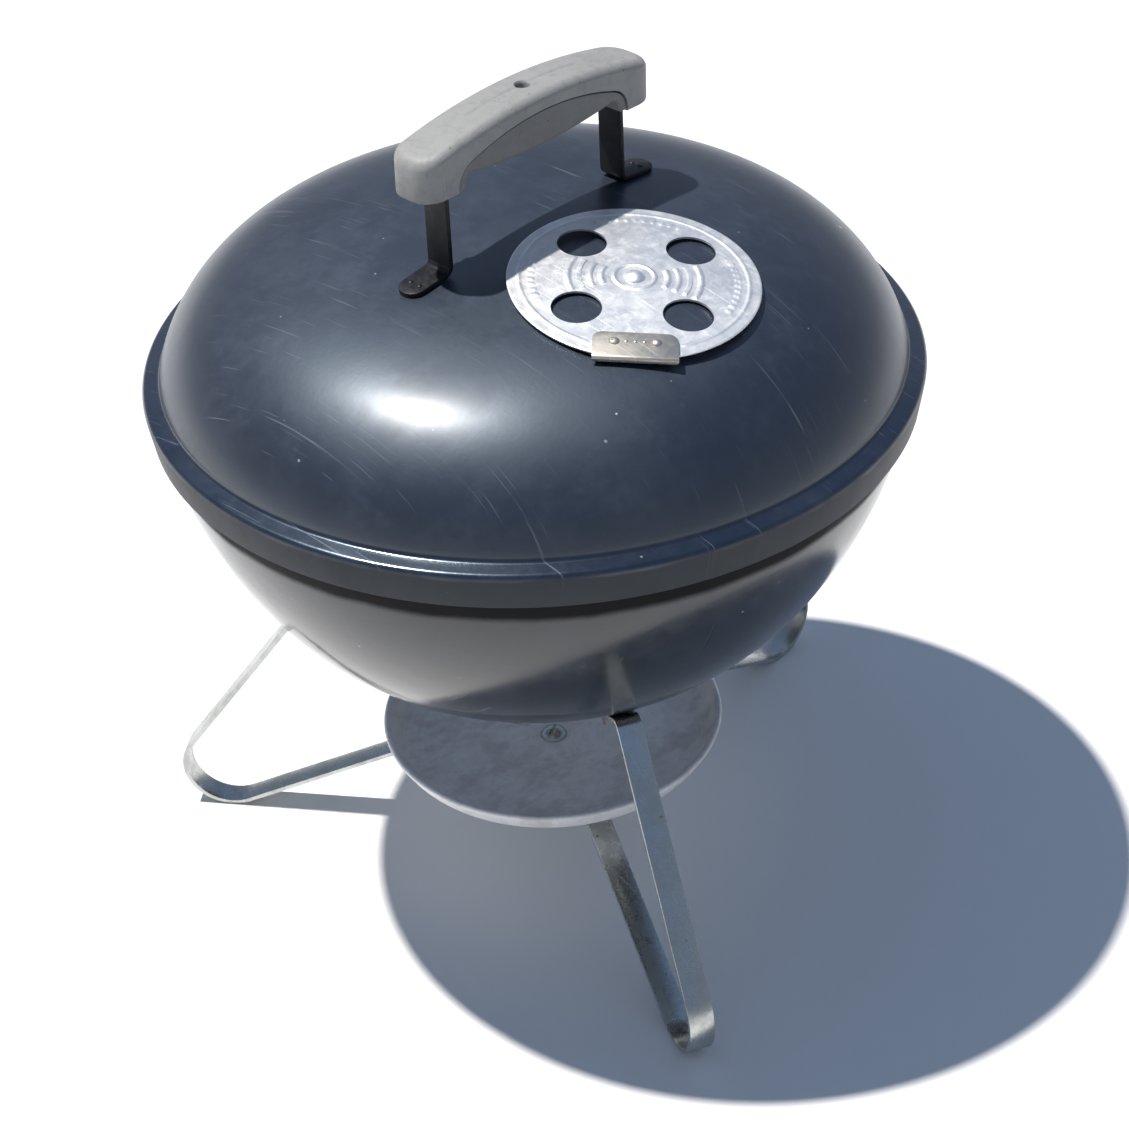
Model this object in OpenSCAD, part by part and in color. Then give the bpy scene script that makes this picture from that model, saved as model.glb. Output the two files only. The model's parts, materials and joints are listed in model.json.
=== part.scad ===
// Portable tabletop kettle grill: enamelled bowl and lid, three bent strap legs, ash pan.
// Origin: on the floor at the bowl's vertical axis. +Z up, handle along X, lid damper towards -Y.

/* [Lid] */
// Radius of the dome where it meets the flange
lid_r = 177.7; // [150:0.1:200]
// Height of the dome base above the floor
lid_base_z = 287.5; // [250:0.1:320]
// Rise of the dome shoulder curve
lid_dome_h = 66.9; // [50:0.1:90]
// Shoulder fullness across
lid_n = 4.35; // [2:0.05:6]
// Shoulder fullness upwards
lid_m = 1.5; // [1:0.05:3]
// Extra rise of the shallow crown
crown_h = 4.5; // [0:0.1:10]
// Radius over which the crown rises
crown_r = 130; // [80:1:160]
// Enamelled sheet thickness
wall = 1.2; // [0.8:0.1:3]
// Outer radius of the lid's skirt
skirt_r = 186; // [160:0.1:210]
// Lower edge of the skirt
skirt_z = 270.5; // [250:0.1:300]

/* [Bowl] */
// Bowl radius below the rim
bowl_r = 179.5; // [150:0.1:200]
// Height where the bowl wall turns vertical
bowl_top_z = 276; // [240:0.1:300]
// Depth of the bowl curve
bowl_depth = 151.3; // [100:0.1:200]
// Bowl fullness across
bowl_n = 3.06; // [2:0.01:6]
// Bowl fullness downwards
bowl_m = 1.37; // [1:0.01:3]
// Radius of the rolled rim bead
bead_r = 2.1; // [1:0.1:4]

/* [Dampers] */
// Distance of the lid damper from the lid's axis
vent_r = 72.6; // [40:0.1:90]
// Direction of the lid damper
vent_az = -94.6; // [-180:0.1:180]
// Slope of the lid at the damper
vent_tilt = 7.75; // [0:0.05:15]
// Damper disc radius
disc_r = 57.4; // [40:0.1:70]
// Dish of the damper disc
disc_sag = 2.5; // [0:0.1:5]
// Radius of the disc's openings
vent_hole_r = 11.4; // [6:0.1:14]
// Distance of the openings from the rivet
vent_pitch_r = 35; // [25:0.5:45]
// Bowl damper radius
bdisc_r = 40; // [30:0.5:50]
// Radius of the bowl vent openings
bvent_hole_r = 8.3; // [5:0.1:10]
// Distance of the bowl vent openings from the rivet
bvent_pitch_r = 24; // [18:0.5:30]

/* [Handle] */
// Half length of the grip
grip_x = 74.2; // [60:0.1:90]
// Width of the grip
grip_w = 27; // [20:0.5:36]
// Top of the grip
grip_top = 428.8; // [400:0.1:450]
// Underside of the grip's end blocks
grip_low = 399.5; // [390:0.5:410]
// Height of the seam between the shells
grip_seam = 420.7; // [410:0.1:425]
// Offset of the handle from the lid's middle
handle_y = -1.5; // [-5:0.1:5]
// Lean of the grip along its length
grip_lean = 1.2; // [0:0.1:3]
// Distance of the strap uprights from the axis
strap_x = 57; // [45:0.5:65]
// Height of the strap inside the grip
bar_z = 411; // [405:0.5:415]
// Distance of the strap's foot tips from the axis
tip_x = 81; // [70:0.5:90]
// Strap width
strap_w = 14; // [10:0.5:20]
// Strap thickness
strap_t = 2.5; // [1.5:0.1:4]

/* [Legs] */
// Directions of the three legs
leg_az = [2, 125, 243.5]; // [0:0.5:360]
// Strap width of a leg
leg_w = 12.7; // [8:0.1:20]
// Strap thickness of a leg
leg_t = 2.5; // [1.5:0.1:4]
// Distance from the axis to each foot bend
foot_c = [184, 176.1, 178.6]; // [150:0.1:200]
// Bend radius of the foot
foot_r = 23.2; // [10:0.1:40]
// Radius where the leg touches the bowl
touch_r = 92; // [60:0.5:120]
// Distance from the bowl contact to the top corner
corner_d = 24; // [15:0.5:40]

/* [Ash pan] */
// Radius over the pan's rolled rim
pan_r = 87.2; // [60:0.1:120]
// Top of the pan's rim
pan_z = 72.6; // [50:0.1:100]
// Underside of the pan's floor
pan_floor_z = 55.3; // [40:0.1:80]
// Radius of the flat floor
pan_flat_r = 64; // [40:0.5:80]
// Pan sheet thickness
pan_t = 1; // [0.6:0.1:2]

/* [Grates] */
// Radius over the cooking grate's ring
grate_r = 168.5; // [140:0.5:175]
// Height of the cooking grate's ring
grate_z = 264.5; // [250:0.1:270]
// Spacing of the cooking bars
bar_pitch = 15.5; // [10:0.5:30]
// Centreline radius of the charcoal grate's ring
coal_r = 131; // [100:0.5:150]
// Height of the charcoal grate's ring
coal_z = 176.2; // [160:0.1:220]

/* [Hidden] */
$fn = 96;
enamel = [0.06, 0.07, 0.11];
steel = [0.72, 0.73, 0.72];
alu = [0.8, 0.8, 0.8];
grey_plastic = [0.55, 0.55, 0.53];
dark_steel = [0.4, 0.38, 0.36];
stack = leg_t + 0.05;

function lid_z(r, w = 0) = lid_base_z
  + (lid_dome_h - w) * pow(1 - pow(r / (lid_r - w), lid_n), 1 / lid_m)
  + (r < crown_r ? crown_h * pow(1 - pow(r / crown_r, 2), 2) : 0);
function bowl_z(r, w = 0) = bowl_top_z
  - (bowl_depth - w) * pow(1 - pow(r / (bowl_r - w), bowl_n), 1 / bowl_m);
function bowl_in_r(z) = (bowl_r - wall)
  * pow(1 - pow((bowl_top_z - z) / (bowl_depth - wall), bowl_m), 1 / bowl_n);
function dish(r) = -disc_sag * r * r / (disc_r * disc_r);
function dir(a) = [cos(a), sin(a)];

// The tilted seat of the lid damper, and a turn about the upright axis
module at_vent() {
  rotate([0, 0, vent_az + 90]) translate([0, -vent_r, lid_z(vent_r)]) rotate([vent_tilt, 0, 0]) children();
}
module around(n, r, a0 = 0) {
  for (i = [0:n - 1]) rotate([0, 0, a0 + i * 360 / n]) translate([r, 0, 0]) children();
}

// A strap's side outline: pairs of centreline point and normal, thickened both ways
function arc(c, r, a0, a1, n) = [for (i = [0:n]) c + r * dir(a0 + (a1 - a0) * i / n)];
function turn(c, r, a0, a1, s, n) = [for (i = [0:n]) let (a = a0 + (a1 - a0) * i / n) [c + r * dir(a), s * dir(a)]];
function flipped(l) = [for (i = [len(l) - 1:-1:0]) [[-l[i][0].x, l[i][0].y], [-l[i][1].x, l[i][1].y]]];
module outline(l, t) {
  polygon(concat([for (k = l) k[0] + k[1] * t / 2], [for (i = [len(l) - 1:-1:0]) l[i][0] - l[i][1] * t / 2]));
}

// Lid
module lid_shell() {
  steps = 26;
  edge = 85.3;
  zf = lid_base_z + 3;
  color(enamel) difference() {
    rotate_extrude($fn = 180) polygon(concat(
      [for (i = [0:steps]) let (r = lid_r * sin(edge * i / steps)) [r, lid_z(r)]],
      [[lid_r + 0.2, zf + 0.3], [lid_r + 0.9, zf - 0.2], [skirt_r - 2.6, zf - 1.5],
       [skirt_r - 1.2, zf - 2.1], [skirt_r - 0.3, zf - 3.1], [skirt_r, zf - 4.5],
       [skirt_r - 2.8, skirt_z], [skirt_r - 2.8 - wall, skirt_z],
       [skirt_r - wall, zf - 4.6], [skirt_r - wall - 0.5, zf - 3.2 - 0.4 * wall],
       [skirt_r - wall - 1.3, zf - 2.4 - 0.7 * wall], [lid_r + 0.7, zf - 0.25 - wall],
       [lid_r - 0.2 - 0.3 * wall, zf + 0.2 - 0.8 * wall], [lid_r + 0.2 - wall, zf + 0.35]],
      [for (i = [steps:-1:0]) let (r = (lid_r - wall) * sin(edge * i / steps)) [r, lid_z(r, wall)]]));
    at_vent() {
      around(4, vent_pitch_r, 45) translate([0, 0, -8]) cylinder(r = vent_hole_r - 0.4, h = 16);
      translate([0, 0, -6]) cylinder(r = 3.05, h = 12);
    }
  }
}

module strap_side(grow = 0) {
  tilt = -6.8;
  z0 = lid_z(68) + strap_t / 2 + 0.15;
  rb = 4;
  // the foot line passes (68, z0) and slopes outwards
  c = [strap_x + rb, z0 + (strap_x + rb - 68) * tan(tilt) + rb / cos(tilt)];
  half = concat([[[tip_x, z0 + (tip_x - 68) * tan(tilt)], dir(90 + tilt)]], turn(c, rb, 270 + tilt, 180, -1, 8),
    turn([strap_x - rb, bar_z - rb], rb, 0, 90, 1, 8));
  outline(concat(half, flipped(half)), strap_t + 2 * grow);
}
module strap_body(grow = 0) {
  w = strap_w + 2 * grow;
  intersection() {
    rotate([90, 0, 0]) linear_extrude(w, center = true) strap_side(grow);
    translate([0, 0, 300]) linear_extrude(200) {
      translate([-tip_x + w / 2, -w / 2]) square([2 * tip_x - w, w]);
      for (m = [-1, 1]) translate([m * (tip_x - w / 2), 0]) circle(w / 2);
    }
  }
}
module handle_strap() {
  color([0.05, 0.05, 0.06]) translate([0, handle_y, 0]) difference() {
    strap_body();
    translate([0, 0, bar_z - 5]) cylinder(r = 2.3, h = 10, $fn = 32);
  }
}

// Side outlines of the grip: a long arch outside, a rounder one at the seam
grip_big = 290;
module arched(x, z, big, e, low) {
  a = asin((x - e) / (big - e));
  ze = z - big + (big - e) * cos(a);
  polygon(concat(
    [[-x, low]], arc([-x + e, ze], e, 180, 90 + a, 6),
    arc([0, z - big], big, 90 + a * 0.88, 90 - a * 0.88, 14),
    arc([x - e, ze], e, 90 - a, 0, 6), [[x, low]]));
}
module grip_seam_area(d = 0) { arched(55 - d, grip_seam - d, 140 - d, 12 - d, grip_low - 5); }
module grip_block(w) {
  // plan outline with rounded ends
  translate([0, 0, grip_low - 20]) linear_extrude(80) {
    translate([-grip_x, -w / 2 + 11]) square([2 * grip_x, w - 22]);
    translate([-grip_x + 11, -w / 2]) square([2 * grip_x - 22, w]);
    for (i = [-1, 1], j = [-1, 1]) translate([i * (grip_x - 11), j * (w / 2 - 11)]) circle(11);
  }
}
module grip_arch(w) {
  // the side outline cut by the plan and by sloping upper edges
  intersection() {
    rotate([90, 0, 0]) linear_extrude(w, center = true) arched(grip_x, grip_top, grip_big, 5, grip_low);
    grip_block(w);
    difference() {
      translate([-90, -w, grip_low - 5]) cube([180, 2 * w, 60]);
      for (m = [0, 1]) mirror([0, m, 0]) translate([0, w / 2, 0]) rotate([90, 0, 0])
        difference() {
          translate([0, 0, -1]) linear_extrude(4.4) translate([-90, grip_low + 10]) square([180, 40]);
          translate([0, grip_top - grip_big, -2])
            cylinder(r1 = grip_big - 5.1, r2 = grip_big + 0.18, h = 5.6, $fn = 160);
        }
    }
  }
}
module leaning() { translate([-35, handle_y, bar_z]) rotate([0, grip_lean, 0]) translate([35, 0, -bar_z]) children(); }
module handle_top() {
  color(grey_plastic) difference() {
    leaning() difference() {
      grip_arch(grip_w);
      rotate([90, 0, 0]) linear_extrude(60, center = true) grip_seam_area();
      translate([0, 0, grip_top - 6]) cylinder(r = 3.4, h = 12, $fn = 40);
      translate([0, 0, grip_seam - 5]) cylinder(r = 2.1, h = 20, $fn = 32);
    }
    translate([0, handle_y, 0]) strap_body(0.15);
  }
}
module handle_bottom() {
  w = grip_w - 1.2;
  low = grip_low + 1;
  color(grey_plastic) difference() {
    leaning() difference() {
      rotate([90, 0, 0]) linear_extrude(w, center = true) difference() {
        grip_seam_area(0.15);
        translate([-60, low - 8]) square([120, 8]);
        // underside: rounded shoulders and a belly that bulges down to the fingers
        polygon(concat(
          [[-49, low - 4]], arc([-45, low + 2], 4, 180, 90, 6),
          arc([0, low + 2.5 + 291], 291, 270 - 8.4, 270 + 8.4, 12),
          arc([45, low + 2], 4, 90, 0, 6), [[49, low - 4]]));
      }
      translate([0, 0, bar_z - 5.5]) cylinder(r = 1.95, h = 20, $fn = 32);
    }
    translate([0, handle_y, 0]) strap_body(0.15);
  }
}
module handle_screw() {
  zh = grip_top - 6;
  color(steel) leaning() difference() {
    union() {
      translate([0, 0, bar_z - 4]) cylinder(r = 1.9, h = zh - bar_z + 4.5, $fn = 32);
      translate([0, 0, zh + 0.02]) cylinder(r1 = 3.2, r2 = 2.6, h = 2.4, $fn = 40);
    }
    translate([-0.5, -4, zh + 1.2]) cube([1, 8, 3]);
    translate([-4, -0.5, zh + 1.2]) cube([8, 1, 3]);
  }
}

// Lid damper
seat = 1.2;
module lid_damper_washer() {
  color(steel) at_vent() difference() {
    translate([0, 0, 0.3]) cylinder(r = 8, h = 0.75);
    cylinder(r = 3.1, h = 4, center = true);
  }
}
module lid_damper_rivet() {
  color(steel) at_vent() {
    translate([0, 0, -3.2]) cylinder(r = 3, h = 6.4);
    translate([0, 0, -3.6]) cylinder(r = 5, h = 1.2);
    translate([0, 0, seat + 1.1]) intersection() {
      cylinder(r = 5.2, h = 2.2);
      translate([0, 0, -5.6]) sphere(r = 7.7);
    }
  }
}
module lid_damper_disc() {
  n = 10;
  color(alu) at_vent() translate([0, 0, seat]) difference() {
    union() {
      rotate_extrude($fn = 180) polygon(concat(
        [for (i = [0:n]) let (r = 3.05 + (disc_r - 3.05) * i / n) [r, dish(r)]],
        [for (i = [n:-1:0]) let (r = 3.05 + (disc_r - 3.05) * i / n) [r, dish(r) + 1]]));
      // stamped rings and short arcs
      rotate_extrude() translate([8.4, 0.5 + dish(9)]) square([1.4, 0.95]);
      for (s = [-45, 135], r = [15, 20, 25, 30]) rotate([0, 0, s - 24]) rotate_extrude(angle = 48)
        translate([r - 0.9, 0.5 + dish(r)]) square([1.8, 1.05]);
      rotate([0, 0, -110]) rotate_extrude(angle = 310) translate([51.3, 0.5 + dish(52)]) square([1.2, 0.85]);
    }
    around(4, vent_pitch_r) translate([0, 0, -4]) cylinder(r = vent_hole_r, h = 8);
    on_disc() tab_holes();
  }
}
tab_x = 50.5;
tab_s = 4.2;
module on_disc() {
  rotate([0, 0, -132.5]) translate([tab_x, 0, 1.04 + dish(tab_x)]) rotate([0, tab_s, 0]) children();
}
module at_tab() { at_vent() translate([0, 0, seat]) on_disc() children(); }
module tab_holes() { for (m = [-1, 1]) translate([-2.8, m * 9.3, -3]) cylinder(r = 1.55, h = 6, $fn = 32); }
module lid_damper_tab() {
  color(steel) at_tab() difference() {
    union() {
      linear_extrude(1.1) {
        translate([-9, -14]) square([17.6, 28]);
        translate([-4, -19]) square([12.6, 38]);
        for (m = [-1, 1]) translate([-4, m * 14]) circle(5);
      }
      translate([7.5, -19, -2]) cube([1.1, 38, 3.1]);
      for (y = [-4, 0, 4]) translate([-3, y, 1]) cylinder(r = 0.9, h = 0.6, $fn = 24);
    }
    tab_holes();
  }
}
module lid_damper_tab_rivets() {
  color(alu) at_tab() for (m = [-1, 1]) translate([-2.8, m * 9.3, 0]) {
    translate([0, 0, -1.6]) cylinder(r = 1.5, h = 3, $fn = 32);
    translate([0, 0, -1.75]) cylinder(r = 2.3, h = 0.55, $fn = 32);
    translate([0, 0, 1.12]) intersection() {
      cylinder(r = 2.5, h = 1.3, $fn = 40);
      translate([0, 0, -1.9]) sphere(r = 3.1, $fn = 40);
    }
  }
}

// Bowl
slope = atan((bowl_z(touch_r + 1) - bowl_z(touch_r - 1)) / 2);
module at_leg_bolt() {
  for (a = leg_az) rotate([0, 0, a]) translate([touch_r, 0, bowl_z(touch_r)]) rotate([0, -slope, 0]) children();
}
module bowl_shell() {
  steps = 28;
  color(enamel) difference() {
    rotate_extrude($fn = 180) {
      polygon(concat(
        [for (i = [0:steps]) let (r = bowl_r * sin(90 * i / steps)) [r, bowl_z(r)]],
        [[bowl_r, bowl_top_z + 10], [bowl_r - wall, bowl_top_z + 10]],
        [for (i = [steps:-1:0]) let (r = (bowl_r - wall) * sin(90 * i / steps)) [r, bowl_z(r, wall)]]));
      translate([bowl_r - 0.6, bowl_top_z + 10]) circle(bead_r, $fn = 48);
    }
    around(4, bvent_pitch_r, 45) translate([0, 0, 110]) cylinder(r = bvent_hole_r, h = 30);
    translate([0, 0, 110]) cylinder(r = 3.05, h = 30);
    at_leg_bolt() cylinder(r = 3.1, h = 12, center = true);
  }
}
module grate_brackets() {
  color(steel) for (i = [0:3]) rotate([0, 0, 47 + 90 * i]) rotate_extrude(angle = 5)
    polygon(concat(
      [for (z = [256:2.5:271]) [bowl_in_r(z) - 0.05, z]],
      [[bowl_in_r(271) - 1.5, 271], [bowl_in_r(263) - 1.55, 262], [163.5, 262], [163.5, 260.6],
       [bowl_in_r(260) - 1.5, 260.6], [bowl_in_r(256) - 1.5, 256]]));
}
module bowl_damper_washer() {
  color(steel) translate([0, 0, bowl_z(0) - 2.35]) difference() {
    cylinder(r = 7, h = 0.7);
    translate([0, 0, -1]) cylinder(r = 3.1, h = 4);
  }
}
module bowl_damper_rivet() {
  z = bowl_z(0);
  color(steel) {
    translate([0, 0, z - 3]) cylinder(r = 3, h = 5.4);
    translate([0, 0, z + wall + 0.02]) cylinder(r = 5, h = 1.2);
    translate([0, 0, z - 3.6]) cylinder(r = 5, h = 1.2);
  }
}
module bowl_damper_disc() {
  color(alu) translate([0, 0, bowl_z(0) - 1.6]) difference() {
    cylinder(r = bdisc_r, h = 1, $fn = 128);
    around(4, bvent_pitch_r) translate([0, 0, -4]) cylinder(r = bvent_hole_r, h = 8);
    translate([0, 0, -4]) cylinder(r = 3.05, h = 8);
    rotate([0, 0, btab_az]) translate([36, 0, -4]) cylinder(r = 1.6, h = 8, $fn = 32);
  }
}
btab_az = -152;
module bowl_damper_tab() {
  color(alu) translate([0, 0, bowl_z(0) - 2.15]) rotate([0, 0, btab_az]) difference() {
    rotate([90, 0, 0]) linear_extrude(17, center = true)
      outline(concat([[[31, 0], [0, 1]]], turn([60, -3], 3, 90, 50, 1, 6),
        [[[60, -3] + 3 * dir(50) + 9 * dir(-40), dir(50)]]), 1);
    translate([36, 0, -4]) cylinder(r = 1.6, h = 8, $fn = 32);
  }
}
module bowl_damper_tab_rivet() {
  color(steel) translate([0, 0, bowl_z(0) - 2.7]) rotate([0, 0, btab_az]) translate([36, 0, 0]) {
    translate([0, 0, -0.5]) cylinder(r = 1.55, h = 2.7, $fn = 32);
    translate([0, 0, -1]) cylinder(r = 2.6, h = 1, $fn = 40);
  }
}

// Legs
// Side outline of one leg: flat under the pan, down to the foot, round it, up to the bowl
module leg_side(i) {
  zl = pan_floor_z - 0.05 - leg_t / 2 - i * stack;
  o = [foot_c[i], foot_r + leg_t / 2 - 0.15];
  rb = 6;
  // centre of the bend at the pan's edge
  b = [pan_flat_r - 2, zl - rb];
  ob = o - b;
  db = norm(ob);
  // common inner tangent of the pan bend (above) and the foot bend (below)
  ab = atan2(ob.y, ob.x) + acos((rb + foot_r) / db);
  // straight run that lies on the bowl
  n = dir(slope - 90);
  t0 = [touch_r, bowl_z(touch_r)] + n * (leg_t / 2 + 0.05);
  ti = t0 - 20 * dir(slope);
  rc = 5;
  cc = t0 + (corner_d - 5) * dir(slope) + rc * n;
  oc = cc - o;
  dc = norm(oc);
  ac = atan2(oc.y, oc.x) - acos((foot_r - rc) / dc);
  outline(concat([[[-9, zl], [0, 1]]], turn(b, rb, 90, ab, 1, 6),
    turn(o, foot_r, ab - 180, ac, -1, 40), turn(cc, rc, ac, slope + 90, -1, 10), [[ti, n]]), leg_t);
}
module leg(i) {
  color(steel) rotate([0, 0, leg_az[i]]) intersection() {
    difference() {
      rotate([90, 0, 0]) linear_extrude(leg_w, center = true) leg_side(i);
      translate([0, 0, 30]) cylinder(r = 3.1, h = 40);
      translate([touch_r, 0, bowl_z(touch_r)]) rotate([0, -slope, 0]) cylinder(r = 3.1, h = 14, center = true);
    }
    translate([-20, -20, 0]) cube([260, 40, 200]);
  }
}
module leg_right() { leg(0); }
module leg_back() { leg(1); }
module leg_front() { leg(2); }
module leg_bolts() {
  color(steel) at_leg_bolt() {
    translate([0, 0, -7.5]) cylinder(r = 3, h = 9.4, $fn = 48);
    translate([0, 0, wall + 0.2]) intersection() {
      cylinder(r = 5.6, h = 3.2, $fn = 48);
      translate([0, 0, -4.2]) sphere(r = 7.2, $fn = 48);
    }
  }
}
module hex_nut(r, h, bore) {
  difference() {
    intersection() {
      linear_extrude(h) polygon([for (i = [0:5]) r * dir(60 * i)]);
      translate([0, 0, h / 2]) sphere(r = r * 1.06, $fn = 48);
    }
    translate([0, 0, -1]) cylinder(r = bore, h = h + 2, $fn = 48);
  }
}
module leg_nuts() {
  color(steel) at_leg_bolt() translate([0, 0, -leg_t - 0.15 - 4.5]) hex_nut(5.8, 4.5, 3.05);
}

// Ash pan
function pan_wall(t, w) = [pan_flat_r + w + (pan_r - 1.6 - pan_flat_r - w) * (1 - pow(1 - t, 1.7)),
  pan_floor_z + w + (pan_z - 1.6 - pan_floor_z - w) * pow(t, 1.9)];
module ash_pan() {
  n = 10;
  color(alu) difference() {
    rotate_extrude($fn = 144) {
      polygon(concat([[0, pan_floor_z]],
        [for (i = [0:n]) pan_wall(i / n, 0)],
        [for (i = [n:-1:0]) pan_wall(i / n, pan_t) - [i == n ? 1.1 : 0, 0]],
        [[0, pan_floor_z + pan_t]]));
      translate([pan_r - 1.7, pan_z - 1.7]) circle(1.7, $fn = 40);
    }
    translate([0, 0, 50]) cylinder(r = 3.1, h = 10);
  }
}
module ash_pan_bolt() {
  z = pan_floor_z + pan_t + 0.05;
  color(steel) difference() {
    union() {
      translate([0, 0, z - 18]) cylinder(r = 3, h = 18.5, $fn = 48);
      translate([0, 0, z]) intersection() {
        cylinder(r = 7, h = 4.2);
        translate([0, 0, -5.2]) sphere(r = 9);
      }
    }
    rotate([0, 0, 20]) translate([-8, -0.7, z + 2.2]) cube([16, 1.4, 4]);
  }
}
pan_stack_z = pan_floor_z - 0.1 - 3 * stack;
module ash_pan_washer() {
  color(steel) translate([0, 0, pan_stack_z - 1.2]) difference() {
    cylinder(r = 6.3, h = 1.2);
    translate([0, 0, -1]) cylinder(r = 3.1, h = 4);
  }
}
module ash_pan_nut() {
  color(steel) translate([0, 0, pan_stack_z - 1.25 - 5]) hex_nut(5.8, 5, 3.05);
}

// Grates
module rod(p, q, r) {
  d = q - p;
  translate(p) rotate([0, 0, atan2(d.y, d.x)]) rotate([0, 90, 0]) cylinder(r = r, h = norm(d), $fn = 24);
}
module grate_ring(rc, rw, ties) {
  rotate_extrude($fn = 128) translate([rc, 0]) circle(rw, $fn = 24);
  for (x = ties) let (y = sqrt(rc * rc - x * x)) rod([x, -y, 0], [x, y, 0], rw);
}
module grate_bars(rc, rw, rb, pitch, n) {
  z = rw + rb + 0.05;
  for (i = [-n:n]) let (y = i * pitch, x = sqrt(rc * rc - y * y)) rod([-x, y, z], [x, y, z], rb);
}
module at_cooking() { translate([0, 0, grate_z]) rotate([0, 0, 25]) children(); }
module at_charcoal() { translate([0, 0, coal_z]) rotate([0, 0, -20]) children(); }
module cooking_grate_ring() { color(steel) at_cooking() grate_ring(grate_r - 2.2, 2.2, [-75, 75]); }
module cooking_grate_bars() { color(steel) at_cooking() grate_bars(grate_r - 2.2, 2.2, 1.7, bar_pitch, 10); }
module charcoal_grate_ring() { color(dark_steel) at_charcoal() grate_ring(coal_r, 2.5, [-58, 58]); }
module charcoal_grate_bars() { color(dark_steel) at_charcoal() grate_bars(coal_r, 2.5, 2.2, 20.5, 6); }

lid_shell();
handle_strap();
handle_top();
handle_bottom();
handle_screw();
lid_damper_washer();
lid_damper_rivet();
lid_damper_disc();
lid_damper_tab();
lid_damper_tab_rivets();
bowl_shell();
grate_brackets();
bowl_damper_washer();
bowl_damper_rivet();
bowl_damper_disc();
bowl_damper_tab();
bowl_damper_tab_rivet();
leg_right();
leg_back();
leg_front();
leg_bolts();
leg_nuts();
ash_pan();
ash_pan_bolt();
ash_pan_washer();
ash_pan_nut();
cooking_grate_ring();
cooking_grate_bars();
charcoal_grate_ring();
charcoal_grate_bars();
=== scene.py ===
import bpy, bmesh, json
from math import radians, degrees, sin, cos, tan, asin, acos, atan2, pi, sqrt
from mathutils import Vector, Matrix


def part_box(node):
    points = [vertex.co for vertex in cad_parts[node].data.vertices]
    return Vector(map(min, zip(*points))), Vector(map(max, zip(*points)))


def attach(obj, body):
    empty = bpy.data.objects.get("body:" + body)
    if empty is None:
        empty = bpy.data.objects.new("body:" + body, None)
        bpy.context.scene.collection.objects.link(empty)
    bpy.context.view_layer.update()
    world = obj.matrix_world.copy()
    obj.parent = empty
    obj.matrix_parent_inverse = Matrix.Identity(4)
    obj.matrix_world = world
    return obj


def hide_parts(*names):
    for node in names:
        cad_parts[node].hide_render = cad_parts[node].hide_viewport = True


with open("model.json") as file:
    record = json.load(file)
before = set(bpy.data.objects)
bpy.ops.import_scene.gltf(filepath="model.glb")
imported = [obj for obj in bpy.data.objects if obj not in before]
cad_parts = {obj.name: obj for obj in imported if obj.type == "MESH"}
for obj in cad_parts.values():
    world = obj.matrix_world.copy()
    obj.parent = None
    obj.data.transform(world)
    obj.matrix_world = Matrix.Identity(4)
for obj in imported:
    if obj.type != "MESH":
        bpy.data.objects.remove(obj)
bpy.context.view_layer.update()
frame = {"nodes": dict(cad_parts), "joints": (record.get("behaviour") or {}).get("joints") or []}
mm = 0.001
scene = bpy.context.scene

# shader groups

def newGroup(name, inputs, outputs):
    g = bpy.data.node_groups.new(name, "ShaderNodeTree")
    for sock, kind, value in inputs:
        s = g.interface.new_socket(sock, in_out="INPUT", socket_type=kind)
        if value is not None:
            s.default_value = value
    for sock, kind in outputs:
        g.interface.new_socket(sock, in_out="OUTPUT", socket_type=kind)
    return g, g.nodes.new("NodeGroupInput"), g.nodes.new("NodeGroupOutput")


def link(tree, a, b):
    tree.links.new(a, b)


def mathNode(tree, op, a, b=None, c=None, clamp=False):
    n = tree.nodes.new("ShaderNodeMath")
    n.operation = op
    n.use_clamp = clamp
    for i, v in enumerate((a, b, c)):
        if v is None:
            continue
        if isinstance(v, (int, float)):
            n.inputs[i].default_value = v
        else:
            link(tree, v, n.inputs[i])
    return n.outputs[0]


def noiseNode(tree, vec, scale, detail=4.0, rough=0.55, distortion=0.0):
    n = tree.nodes.new("ShaderNodeTexNoise")
    link(tree, vec, n.inputs["Vector"])
    for key, v in (("Scale", scale), ("Detail", detail), ("Roughness", rough), ("Distortion", distortion)):
        if isinstance(v, (int, float)):
            n.inputs[key].default_value = v
        else:
            link(tree, v, n.inputs[key])
    return n.outputs[0]


def rangeNode(tree, value, low, high, toLow=0.0, toHigh=1.0):
    n = tree.nodes.new("ShaderNodeMapRange")
    n.interpolation_type = "SMOOTHSTEP"
    link(tree, value, n.inputs["Value"])
    for key, v in (("From Min", low), ("From Max", high), ("To Min", toLow), ("To Max", toHigh)):
        if isinstance(v, (int, float)):
            n.inputs[key].default_value = v
        else:
            link(tree, v, n.inputs[key])
    return n.outputs["Result"]


def turned(tree, vec, angles, scale, place=(0, 0, 0)):
    n = tree.nodes.new("ShaderNodeMapping")
    n.inputs["Location"].default_value = place
    n.inputs["Rotation"].default_value = [radians(a) for a in angles]
    n.inputs["Scale"].default_value = scale
    link(tree, vec, n.inputs["Vector"])
    return n.outputs[0]


vectorIn = ("Vector", "NodeSocketVector", None)
maskOut = [("Mask", "NodeSocketFloat")]


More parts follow.
